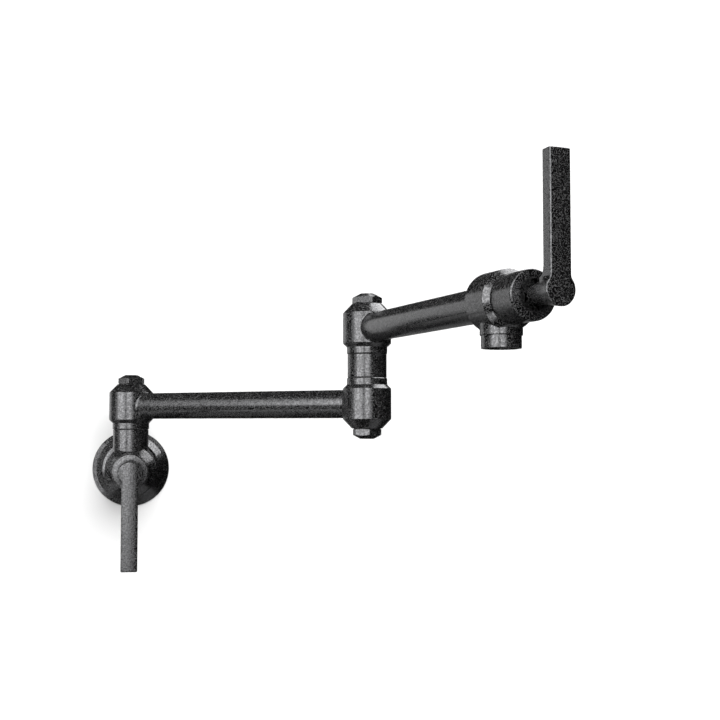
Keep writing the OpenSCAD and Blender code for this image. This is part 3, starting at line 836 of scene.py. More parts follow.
@dataclass(frozen=True)
class Layout:
    """Where the sub-assemblies stand, in millimetres and degrees."""

    wall_to_axis: float = 59.0
    first_arm_h: float = 57.0
    arm_rise: float = 59.5
    first_arm_len: float = 239.5
    second_arm_len: float = 220.0
    first_arm_angle: float = 40.0
    second_arm_angle: float = 79.0

    @property
    def second_arm_h(self) -> float:
        """Height of the second arm's centre line."""
        return self.first_arm_h + self.arm_rise

    def along(self, degrees: float, length: float) -> Vector:
        """A step along an arm.

        Args:
            degrees: the arm's angle out from the wall.
            length: the step's length.

        Returns:
            The step.
        """
        angle = math.radians(degrees)
        return Vector((length * math.cos(angle), -length * math.sin(angle), 0.0))

    @property
    def elbow(self) -> Vector:
        """The elbow's axis at the inlet's height."""
        foot = Vector((0, -self.wall_to_axis, 0))
        return foot + self.along(self.first_arm_angle, self.first_arm_len)

    @property
    def spout(self) -> Vector:
        """The spout's axis at the inlet's height."""
        return self.elbow + self.along(self.second_arm_angle, self.second_arm_len)

    def standing(
        self, foot: Vector, height: float, degrees: float, upside_down: bool = False
    ) -> Matrix:
        """The place of a swivel, with its tube along +X and its cap nut along +Z.

        Args:
            foot: a point on its axis.
            height: the height of its arm's centre line.
            degrees: the direction of its tube, from +X towards +Y.
            upside_down: turns the cap nut down, with the tube still along +X.

        Returns:
            The matrix.
        """
        flip = Matrix.Rotation(math.pi, 4, "X") if upside_down else Matrix.Identity(4)
        here = Matrix.Translation(Vector((foot.x, foot.y, height)) * MM)
        return here @ turn_z(degrees) @ flip

    @property
    def wall_swivel(self) -> Matrix:
        """The wall swivel's place."""
        foot = Vector((0, -self.wall_to_axis, 0))
        return self.standing(foot, self.first_arm_h, -self.first_arm_angle)

    @property
    def elbow_lower(self) -> Matrix:
        """The lower elbow swivel's place."""
        return self.standing(self.elbow, self.first_arm_h, 180 - self.first_arm_angle, True)

    @property
    def elbow_upper(self) -> Matrix:
        """The upper elbow swivel's place."""
        return self.standing(self.elbow, self.second_arm_h, -self.second_arm_angle)

    @property
    def inlet_valve(self) -> Matrix:
        """The inlet valve's place, with its lever along +Z and up along +Y."""
        foot = Matrix.Translation((0, -self.wall_to_axis * MM, 0))
        return foot @ Matrix.Rotation(math.pi / 2, 4, "X")

    @property
    def outlet_valve(self) -> Matrix:
        """The outlet valve's place, with its lever along +Z and up along +Y."""
        foot = Matrix.Translation(Vector((self.spout.x, self.spout.y, self.second_arm_h)) * MM)
        return foot @ turn_z(90 - self.second_arm_angle) @ Matrix.Rotation(math.pi / 2, 4, "X")


@dataclass
class SubAssembly:
    """Pieces that are built and dressed together."""

    layout: Layout
    pieces: list[tuple[bpy.types.Object, Body, Finish, tuple[str, ...]]] = field(
        default_factory=list
    )

    def keep(
        self,
        piece: bpy.types.Object,
        where: Matrix,
        body: Body,
        finish: Finish,
        *nodes: str,
        angle: float = 32.0,
    ) -> None:
        """Puts a piece in its place and notes what it rides on, wears and stands for.

        Args:
            piece: the object.
            where: its place.
            body: the body that it rides on.
            finish: what it wears.
            nodes: the CAD nodes that it replaces.
            angle: the smallest angle that stays a hard edge, in degrees.
        """
        Bench.lay(piece, where)
        Bench.finish(piece, angle)
        self.pieces.append((piece, body, finish, nodes))

    def build(self) -> None:
        """Makes the pieces."""
        raise NotImplementedError

    def dress(self) -> None:
        """Gives each piece its finish and its body."""
        for piece, body, finish, nodes in self.pieces:
            piece.data.materials.clear()
            piece.data.materials.append(finish.material())
            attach(piece, body.value)
            if nodes:
                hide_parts(*nodes)
            LOG.info("%s: %d faces on %s", piece.name, len(piece.data.polygons), body.value)


@dataclass
class WallFlange(SubAssembly):
    """The stepped round flange against the wall."""

    radius: float = 35.0
    rim_h: float = 1.6
    band_r: float = 31.2
    band_h: float = 3.0
    foot_r: float = 25.6
    cone_h: float = 6.0
    neck_step: float = 2.4
    lip_h: float = 0.8
    bore_r: float = 22.25
    recess_r: float = 31.05
    recess_h: float = 1.5
    hollow_r: float = 25.0
    hollow_h: float = 3.0

    def build(self) -> None:
        """Turns the flange with its back recess."""
        band_z = self.rim_h + self.band_h
        foot_z = band_z + self.cone_h
        neck_r = self.foot_r - self.neck_step
        lip_z = foot_z + self.neck_step + self.lip_h
        corners = [
            (self.recess_r, 0, 0.15),
            (self.radius, 0, 0.3),
            (self.radius, self.rim_h, 0.45),
            (self.band_r, band_z, 0.5),
            (self.foot_r, foot_z, 0.3),
            (neck_r, foot_z + 0.5 * self.neck_step, 0.5),
            (neck_r, lip_z, 0.25),
            (self.bore_r, lip_z, 0.2),
            (self.bore_r, self.hollow_h, 0.2),
            (self.hollow_r, self.hollow_h, 0.3),
            (self.hollow_r, self.recess_h, 0.1),
            (self.recess_r, self.recess_h, 0.1),
        ]
        flange = Bench.ring("flange", corners, 160)
        facing = Matrix.Rotation(math.pi / 2, 4, "X")
        self.keep(flange, facing, Body.WALL, BLACK, "wall_flange", angle=24)


@dataclass
class ValveCore:
    """The sizes that both valves share, measured from the port's axis towards the lever."""

    body_r: float
    rear: float
    front: float
    bonnet_r: float = 15.55
    bonnet_front: float = 40.7
    bonnet_edge: float = 3.0
    bonnet_bore_r: float = 13.2
    bonnet_gap: float = 0.02
    bonnet_wall: float = 4.0
    dome_r: float = 90.0
    dome_steps: tuple[float, ...] = (13.0, 11.0, 9.0, 7.0)
    dome_drop: float = 0.15
    stem_hole_r: float = 4.8
    chamber_r: float = 11.2
    seat_z: float = -7.0
    seat_r: float = 5.0

    @property
    def face(self) -> float:
        """Where the body's bevel meets the bonnet."""
        return self.front + self.body_r - self.bonnet_r

    @property
    def mouth(self) -> list[Corner]:
        """A body's corners from the outside of its front to the seat in its chamber."""
        return [
            (self.body_r, self.front, 0.35),
            (self.bonnet_r + 0.1, self.face, 0.1),
            (self.chamber_r, self.face, 0.2),
            (self.chamber_r, self.seat_z, 0.2),
            (self.seat_r, self.seat_z, 0.1),
        ]

    def blank(self) -> bpy.types.Object:
        """The body's outer shape as a plain solid, to cut other pieces to it.

        Returns:
            The solid.
        """
        corners = [
            (0, -self.rear),
            (self.body_r, -self.rear),
            (self.body_r, self.front),
            (self.bonnet_r, self.face),
            (0, self.face),
        ]
        return Bench.turned("cutter", corners)

    def bonnet(self, name: str) -> bpy.types.Object:
        """The plain round cover in front of the body.

        Args:
            name: the piece's name.

        Returns:
            The bonnet, in the valve's own frame.
        """
        foot, front = self.face + self.bonnet_gap, self.bonnet_front
        dome = [(r, front - r * r / (2 * self.dome_r), 0.0) for r in self.dome_steps]
        corners = [
            (self.bonnet_bore_r, foot, 0.1),
            (self.bonnet_r, foot, 0.15),
            (self.bonnet_r, dome[0][1] - self.dome_drop, self.bonnet_edge),
            *dome,
            (self.stem_hole_r, front, 0.3),
            (self.stem_hole_r, front - self.bonnet_wall, 0.1),
            (self.bonnet_bore_r, front - self.bonnet_wall, 0.2),
        ]
        return Bench.ring(name, corners, 144)


@dataclass
class Valve(SubAssembly):
    """What both valves share."""

    def cover(self, core: ValveCore, word: str, place: Matrix, body: Body) -> None:
        """Makes the valve's cover, in its own plating with a painted contact shadow round the
        lever's boss.

        Args:
            core: the valve's sizes.
            word: inlet or outlet.
            place: the valve's place.
            body: the body that the cover rides on.
        """
        middle, axis = tuple(place.translation), tuple(place.to_3x3().col[2])
        # the cover's finish paints a contact shadow round the lever's boss
        finish = CoverBlack(f"{word}_cover_black", Slot.SATIN_BLACK, middle=middle, axis=axis)
        bonnet = core.bonnet(f"{word}_cover")
        self.keep(bonnet, place, body, finish, f"{word}_bonnet", angle=28)


@dataclass
class InletValve(Valve):
    """The valve at the wall: its body, the column on it and its bonnet."""

    core: ValveCore = field(default_factory=lambda: ValveCore(22.2, 59.0, 10.4))
    column_r: float = 15.4
    column_bore_r: float = 7.5
    socket_r: float = 9.55
    socket_depth: float = 7.5
    thread_r: float = 9.5
    thread_len: float = 16.0
    thread_pitch: float = 1.8
    thread_depth: float = 0.9
    water_r: float = 6.5
    seat_h: float = 2.8
    column_foot: float = 2.0
    column_drop: float = 20.8

    def build(self) -> None:
        """Turns the three pieces and cuts the column to the body."""
        place = self.layout.inlet_valve
        core = self.core
        turns = int(self.thread_len / self.thread_pitch)
        crest = self.thread_r + self.thread_depth
        turn = ((self.thread_r, 0.0), (self.thread_r, 0.25), (crest, 0.6), (crest, 0.7))
        thread: list[Corner] = []
        for k in range(turns):
            low = -core.rear + self.thread_len - k * self.thread_pitch
            thread += [(radius, low - share * self.thread_pitch, 0.0) for radius, share in turn]
        corners = [
            (core.body_r, -core.rear, 0.4),
            *core.mouth,
            (core.seat_r, core.seat_z - self.seat_h, 0.1),
            (self.water_r, core.seat_z - self.seat_h, 0.1),
            (self.water_r, -core.rear + self.thread_len, 0.1),
            *thread,
            (crest, -core.rear, 0.0),
        ]
        body = Bench.ring("inlet_body", corners, 144)
        self.keep(body, place, Body.WALL, BLACK, "inlet_valve_body", angle=28)

        top = self.layout.first_arm_h - self.column_drop
        corners = [
            (self.column_bore_r, self.column_foot, 0.0),
            (self.column_r, self.column_foot, 0.0),
            (self.column_r, top, 0.35),
            (self.socket_r, top, 0.2),
            (self.socket_r, top - self.socket_depth, 0.1),
            (self.column_bore_r, top - self.socket_depth, 0.1),
        ]
        column = Bench.ring("inlet_column", corners)
        Bench.lay(column, Matrix.Rotation(-math.pi / 2, 4, "X"))
        Bench.combine(column, core.blank(), "DIFFERENCE")
        self.keep(column, place, Body.WALL, BLACK, "wall_column")

        self.cover(core, "inlet", place, Body.WALL)


@dataclass
class OutletValve(Valve):
    """The valve at the spout: its body, its bonnet and the collar under it."""

    core: ValveCore = field(default_factory=lambda: ValveCore(19.0, 12.2, 11.0))
    tube_r: float = 11.3
    tube_socket: float = 2.0
    collar_r: float = 13.3
    collar_start: float = 6.0
    collar_drop: float = 21.2
    socket_r: float = 11.55
    cutter_len: float = 30.0

    def build(self) -> None:
        """Turns the three pieces and cuts the collar to the body and the tube."""
        place = self.layout.outlet_valve
        core = self.core
        corners = [
            (self.tube_r, -core.rear, 0.15),
            (core.body_r, -core.rear, 0.3),
            *core.mouth,
            (core.seat_r, self.tube_socket - core.rear, 0.1),
            (self.tube_r, self.tube_socket - core.rear, 0.1),
        ]
        body = Bench.ring("outlet_body", corners, 144)
        self.keep(body, place, Body.SECOND_ARM, BLACK, "outlet_valve_body", angle=28)

        corners = [
            (self.socket_r, self.collar_start, 0.0),
            (self.collar_r, self.collar_start, 0.0),
            (self.collar_r, self.collar_drop, 0.4),
            (self.socket_r, self.collar_drop, 0.2),
        ]
        collar = Bench.ring("outlet_collar", corners)
        Bench.lay(collar, Matrix.Rotation(math.pi / 2, 4, "X"))
        Bench.combine(collar, core.blank(), "DIFFERENCE")
        end = -self.cutter_len
        tube = Bench.turned("cutter", [(0, end), (self.tube_r, end), (self.tube_r, 0), (0, 0)])
        Bench.combine(collar, tube, "DIFFERENCE")
        self.keep(collar, place, Body.SECOND_ARM, BLACK, "spout_collar")

        self.cover(core, "outlet", place, Body.SECOND_ARM)


@dataclass
class Swivels(SubAssembly):
    """The three barrels with their cap nuts, and the column between the elbow's two."""

    barrel_r: float = 19.0
    half: float = 12.0
    bevel_h: float = 7.4
    seat_r: float = 12.0
    neck_h: float = 3.0
    collar_r: float = 15.9
    collar_h: float = 5.4
    bore_r: float = 9.55
    tube_r: float = 11.25
    tube_start: float = 13.5
    column_r: float = 15.4
    column_bore_r: float = 7.5
    nut_flats: float = 21.0
    nut_h: float = 4.3
    nut_crown_h: float = 3.5
    nut_crown_r: float = 5.5
    nut_foot_h: float = 0.5
    nut_lift: float = 0.3
    nut_bevel: float = 0.7
    nut_edge: float = 0.28
    play: float = 0.03
    collar_in: float = 0.5  # the bevel at the collar's free end, across
    collar_up: float = 0.6  # and along
    water_r: float = 8.0
    seam: float = 0.4  # between a collar and the elbow's column
    socket_depth: float = 7.5
    fillet_r: float = 1.1  # above and below the tube
    fillet_side: float = 1.3  # what its sides have more
    fillet_sink: float = 0.2
    fillet_root: float = 0.985  # of the tube's radius
    fillet_points: tuple[int, int] = (128, 9)  # around and across

    @property
    def seat_z(self) -> float:
        """Height of the cap nut's seat."""
        return self.half + self.bevel_h

    @property
    def collar_z(self) -> float:
        """Height of the collar's free end."""
        return -self.half - self.neck_h - self.collar_h

    def barrel(self, name: str) -> bpy.types.Object:
        """One barrel with its bore and the socket for its tube.

        Args:
            name: the piece's name.

        Returns:
            The barrel, in the swivel's own frame.
        """
        corners = [
            (self.collar_r - self.collar_in, self.collar_z, 0.1),
            (self.collar_r, self.collar_z + self.collar_up, 0.15),
            (self.collar_r, -self.half - self.neck_h, 0.25),
            (self.barrel_r, -self.half, 0.45),
            (self.barrel_r, self.half, 0.45),
            (self.seat_r, self.seat_z, 0.35),
            (self.bore_r, self.seat_z, 0.15),
            (self.bore_r, self.collar_z, 0.1),
        ]
        piece = Bench.ring(name, corners, 144)
        start, end, socket_r = self.tube_start, self.barrel_r + 5, self.tube_r + self.play
        way = [(0, 2), (self.water_r, 2), (self.water_r, start)]
        tool = Bench.turned("cutter", [*way, (socket_r, start), (socket_r, end), (0, end)])
        Bench.lay(tool, Matrix.Rotation(math.pi / 2, 4, "Y"))
        Bench.combine(piece, tool, "DIFFERENCE")
        return piece

    def fillet(self, name: str) -> bpy.types.Object:
        """The braze fillet round a tube where it enters its barrel, widest at its sides.

        Args:
            name: the piece's name.

        Returns:
            The fillet, in the swivel's own frame.
        """
        around, across = self.fillet_points
        Bench.clear()
        bpy.ops.mesh.primitive_torus_add(
            major_segments=around,
            minor_segments=across,
            major_radius=self.tube_r * MM,
            minor_radius=MM,
        )
        piece = Bench.named(name)
        for i in range(around):
            angle = 2 * math.pi * i / around
            cos, sin = math.cos(angle), math.sin(angle)
            ball = self.fillet_r + self.fillet_side * cos * cos
            y, z = (self.tube_r + ball) * cos, (self.tube_r + ball) * sin
            centre = Vector((math.sqrt((self.barrel_r + ball) ** 2 - y * y), y, z))
            on_tube = Vector((centre.x, self.tube_r * cos, self.tube_r * sin)) - centre
            share = self.barrel_r / (self.barrel_r + ball)
            on_barrel = Vector((centre.x * share, y * share, z)) - centre
            for j in range(across - 1):
                step = on_tube.slerp(on_barrel, j / (across - 2)).normalized() * ball
                piece.data.vertices[i * across + j].co = (centre + step) * MM
            skin = math.sqrt(self.barrel_r**2 - (self.tube_r * cos) ** 2)
            root_r = self.fillet_root * self.tube_r
            root = Vector((skin - self.fillet_sink, root_r * cos, root_r * sin))
            piece.data.vertices[i * across + across - 1].co = root * MM
        bpy.ops.object.mode_set(mode="EDIT")
        Bench.close()
        return piece

    def nut(self, name: str, turn: float) -> bpy.types.Object:
        """One cap nut: a hexagon under a shallow cone.

        Args:
            name: the piece's name.
            turn: the direction of one of its flats' corners from +X, in degrees.

        Returns:
            The nut, in the swivel's own frame.
        """
        corner_r = self.nut_flats / 2 / math.cos(math.pi / 6)
        wide = corner_r + self.play
        foot = self.seat_z + self.nut_lift
        top = foot + self.nut_h + self.nut_crown_h
        Bench.clear()
        bpy.ops.mesh.primitive_cylinder_add(
            vertices=6,
            radius=corner_r * MM,
            depth=(top - foot + 4) * MM,
            location=(0, 0, (foot + top) / 2 * MM),
        )
        piece = Bench.named(name)
        Bench.lay(piece, Matrix.Identity(4))
        Bench.soften(piece, self.nut_bevel, 3)
        outline = [
            (0, foot),
            (self.nut_flats / 2, foot),
            (wide, foot + self.nut_foot_h),
            (wide, foot + self.nut_h),
            (self.nut_crown_r, top),
            (0, top),
        ]
        Bench.combine(piece, Bench.turned("cutter", outline, 96), "INTERSECT")
        Bench.soften(piece, self.nut_edge, 2, 20)
        Bench.lay(piece, turn_z(turn - 90))
        return piece

    def build(self) -> None:
        """Makes the barrels, fillets, nuts and the elbow's column."""
        layout, first, second = self.layout, Body.FIRST_ARM, Body.SECOND_ARM
        places = (
            ("wall", "wall_swivel_barrel", layout.wall_swivel, first, Body.WALL, 59.0),
            ("lower", "elbow_lower_barrel", layout.elbow_lower, first, first, -68.0),
            ("upper", "elbow_upper_barrel", layout.elbow_upper, second, first, 119.0),
        )
        for word, node, place, body, nut_body, turn in places:
            self.keep(self.barrel(f"{word}_barrel"), place, body, BLACK, node, angle=28)
            self.keep(self.fillet(f"{word}_fillet"), place, body, BLACK, angle=60)
            nut = self.nut(f"{word}_nut", turn)
            self.keep(nut, place, nut_body, BLACK, f"{word}_cap_nut")

        gap, depth = self.seam - self.collar_z, self.socket_depth
        low, high = layout.first_arm_h + gap, layout.second_arm_h - gap
        corners = [
            (self.bore_r, low, 0.2),
            (self.column_r, low, 0.35),
            (self.column_r, high, 0.35),
            (self.bore_r, high, 0.2),
            (self.bore_r, high - depth, 0.1),
            (self.column_bore_r, high - depth, 0.1),
            (self.column_bore_r, low + depth, 0.1),
            (self.bore_r, low + depth, 0.1),
        ]
        column = Bench.ring("elbow_middle", corners, 144)
        foot = Matrix.Translation((layout.elbow.x * MM, layout.elbow.y * MM, 0))
        self.keep(column, foot, first, BLACK, "elbow_column", angle=28)


@dataclass
class ArmTubes(SubAssembly):
    """The two drawn tubes between the swivels and the outlet valve."""

    radius: float = 11.25
    wall: float = 1.6
    start: float = 13.5
    outlet_gap: float = 10.2

    def tube(self, name: str, end: float) -> bpy.types.Object:
        """One tube.

        Args:
            name: the piece's name.
            end: how far it reaches from the swivel's axis.

        Returns:
            The tube, in its swivel's own frame.
        """
        inner = self.radius - self.wall
        corners = [
            (inner, self.start, 0.1),
            (self.radius, self.start, 0.1),
            (self.radius, end, 0.1),
            (inner, end, 0.1),
        ]
        piece = Bench.ring(name, corners, 96)
        Bench.lay(piece, Matrix.Rotation(math.pi / 2, 4, "Y"))
        return piece

    def build(self) -> None:
        """Makes both tubes."""
        layout = self.layout
        tube = self.tube("first_tube", layout.first_arm_len - self.start)
        self.keep(tube, layout.wall_swivel, Body.FIRST_ARM, BLACK, "first_arm_tube", angle=28)
        tube = self.tube("second_tube", layout.second_arm_len - self.outlet_gap)
        self.keep(tube, layout.elbow_upper, Body.SECOND_ARM, BLACK, "second_arm_tube", angle=28)


@dataclass
class LeverHandle(SubAssembly):
    """One lever handle: a round hub on a tapered boss, with a flat blade."""

    word: str = "inlet"
    body: Body = Body.INLET_HANDLE
    turn: float = 180.0
    front: float = 70.8
    thickness: float = 9.1
    width: float = 13.7
    length: float = 80.7
    hub_r: float = 9.7
    boss_r: float = 5.45
    boss_z: float = 41.0
    blend_r: float = 5.0
    cove_r: float = 5.0
    edge: float = 0.9
    crown: tuple[Point, ...] = ((0.0, 0.0), (2.4, 0.07), (4.8, 0.25), (13.0, 1.5))  # x and drop
    boss_short: float = 0.4
    half_cut: float = 15.0  # a block round the hub that keeps the trim off the blade
    half_heights: Point = (50.0, 75.0)
    web_over: float = 1.2
    web_edge: float = 0.6
    grub_z: float = 52.0
    grub_r: float = 2.05
    grub_reach: Point = (3.9, 14.0)

    @property
    def back(self) -> float:
        """Height of the blade's back face."""
        return self.front - self.thickness

    def outline_touch(self) -> float:
        """Where the hub's circle meets the blends beside the blade.

        Returns:
            The height of that point above the hub's centre.
        """
        middle = self.hub_r + self.blend_r
        return self.hub_r / middle * math.sqrt(middle**2 - (self.width / 2 + self.blend_r) ** 2)

    def outline(self) -> list[Point]:
        """The face of hub and blade, seen from the front.

        Returns:
            The outline's points, anticlockwise.
        """
        half = self.width / 2
        corner_x = half + self.blend_r
        corner_y = math.sqrt((self.hub_r + self.blend_r) ** 2 - corner_x**2)
        touch = math.atan2(corner_y, corner_x)
        hub = arc((0, 0), self.hub_r, math.pi - touch, 2 * math.pi + touch, 64)
        blend = arc((corner_x, corner_y), self.blend_r, math.pi + touch, math.pi, 8)[1:]
        mirrored = [(-x, y) for x, y in reversed(blend)]
        return [*hub, *blend, (half, self.length), (-half, self.length), *mirrored]

    def build(self) -> None:
        """Makes the lever and cuts the hole for its grub screw."""
        blade = Bench.plate(f"{self.word}_handle", self.outline(), self.back, self.front)
        wide = self.crown[-1][0]
        face = [(x, self.front - drop) for x, drop in reversed(self.crown)]
        face += [(-x, self.front - drop) for x, drop in self.crown[1:]]
        side = [(-wide, self.boss_z), (wide, self.boss_z), *face]
        tool = Bench.plate("cutter", side, -self.length - 2, wide)
        Bench.lay(tool, Matrix.Rotation(math.pi / 2, 4, "X"))
        Bench.combine(blade, tool, "INTERSECT")
        Bench.soften(blade, self.edge, 4, 30, clamp=False)

        boss_end = self.front - self.edge - self.boss_short
        slope = (self.hub_r - self.boss_r) / (boss_end - self.boss_z)
        at_blade = self.boss_r + slope * (self.back - self.boss_z)
        low, high = self.back - 1, self.front + 1
        around = [
            (at_blade - slope, low),
            (wide, low),
            (wide, high),
            (at_blade + slope * (high - self.back), high),
        ]
        trim = Bench.turned("cutter", around, 128)
        far, level = self.half_cut, self.outline_touch()
        below = [(-far, -far), (far, -far), (far, level), (-far, level)]
        Bench.combine(trim, Bench.plate("half", below, *self.half_heights), "INTERSECT")
        Bench.combine(blade, trim, "DIFFERENCE")

        lean = math.atan(slope)
        reach = self.cove_r / math.tan((math.pi / 2 + lean) / 2)
        centre = (at_blade + reach, self.back - self.cove_r)
        cove = arc(centre, self.cove_r, math.pi / 2, math.pi - lean, 12)
        near, outer, over = 0.5, centre[0] + 1, self.back + self.web_over
        side = [(near, over), (outer, over), (outer, self.back - 0.02), *cove, (near, cove[-1][1])]
        half = self.width / 2
        web = Bench.plate("web", side, -half, half)
        # its own x, y and z become y, z and x
        Bench.lay(web, Matrix(((0, 0, 1, 0), (1, 0, 0, 0), (0, 1, 0, 0), (0, 0, 0, 1))))
        Bench.soften(web, self.web_edge, 3, 60)
        Bench.combine(blade, web, "UNION")

        corners = [
            (0, self.boss_z, 0),
            (self.boss_r, self.boss_z, 0.4),
            (self.hub_r - 0.015, boss_end, 0.0),
            (0, boss_end, 0.0),
        ]
        Bench.combine(blade, Bench.turned("boss", rounded(corners), 128), "UNION")

        near, far = self.grub_reach
        pin = [(0, near), (self.grub_r, near), (self.grub_r, far), (0, far)]
        hole, across = Bench.turned("cutter", pin, 32), Matrix.Rotation(math.pi / 2, 4, "X")
        Bench.lay(hole, Matrix.Translation((0, 0, self.grub_z * MM)) @ across)
        Bench.combine(blade, hole, "DIFFERENCE")
        inlet = self.body is Body.INLET_HANDLE
        place = self.layout.inlet_valve if inlet else self.layout.outlet_valve
        where = place @ turn_z(self.turn)
        self.keep(blade, where, self.body, BLACK, f"{self.word}_lever", angle=26)


@dataclass
class SpoutTip(SubAssembly):
    """The short spout under the outlet valve's collar."""

    radius: float = 12.55
    low: float = -29.3
    shoulder: float = -21.2
    mouth_r: float = 10.8
    mouth_depth: float = 3.0
    pocket_depth: float = 7.6
    pocket_r: float = 10.2
    bore_r: float = 9.5
    thread_r: float = 11.5
    thread_len: float = 7.0

    def build(self) -> None:
        """Turns the spout with its open mouth."""
        top, step = self.shoulder + self.thread_len, self.low + self.mouth_depth
        inner = self.low + self.pocket_depth
        corners = [
            (self.mouth_r, self.low, 0.35),
            (self.radius, self.low, 0.55),
            (self.radius, self.shoulder, 0.25),
            (self.thread_r, self.shoulder, 0.1),
            (self.thread_r, top, 0.3),
            (self.bore_r, top, 0.2),
            (self.bore_r, inner, 0.1),
            (self.pocket_r, inner, 0.1),
            (self.pocket_r, step, 0.1),
            (self.mouth_r, step, 0.1),
        ]
        spout, foot = Bench.ring("spout_tip", corners, 128), self.layout.spout
        where = Matrix.Translation(Vector((foot.x, foot.y, self.layout.second_arm_h)) * MM)
        self.keep(spout, where, Body.SECOND_ARM, BLACK, "spout", angle=28)


@dataclass
class InnerParts:
    """The CAD nodes that keep their own shape and only get a finish."""

    finishes: dict[str, Finish] = field(
        default_factory=lambda: {
            "_gasket": FOAM,
            "_o_ring": RUBBER,
            "_o_rings": RUBBER,
            "_seal": RUBBER,
            "spout_washer": RUBBER,
            "_thrust_washer": BEARING,
            "_cap_washer": BEARING,
            "_post": BRASS,
            "_sleeve": BRASS,
            "_disc": CERAMIC,
            "_stem": STEEL,
            "_grub_screw": STEEL,
            "_screen": STEEL,
            "stream_insert": NYLON,
        }
    )

    def dress(self) -> None:
        """Gives each shown CAD node the finish that its name asks for."""
        for name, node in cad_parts.items():
            if node.hide_render:
                continue
            found = next((f for ending, f in self.finishes.items() if name.endswith(ending)), None)
            if found is None:
                LOG.warning("%s keeps its plain material", name)
                continue
            for place in node.material_slots:
                place.material = found.material()
            LOG.info("%s: %s", name, found.name)


# Studio


@dataclass(frozen=True)
class SoftBox:
    """A bright patch of the studio, by its directions in degrees and its strength."""

    left: float
    right: float
    low: float
    high: float
    strength: float
    soft_left: float = 3.0
    soft_right: float = 3.0
    soft_low: float = 4.0
    soft_high: float = 4.0


@dataclass(frozen=True)
class Panel:
    """A hanging panel that shows only in the metal's reflections, in millimetres and degrees."""

    name: str
    at: Spot
    lean: float  # from facing down towards -X
    size: Point  # along Y, and across
    glow: float  # 1 is white


@dataclass(frozen=True)
class Backdrop:
    """A plain white sheet that is only seen from its front, in metres and radians."""

    name: str
    middle: Spot
    half: Spot  # half its sizes
    turn: Spot
    shade: float  # how much light it throws back
    lift: float  # the light that it adds for the camera


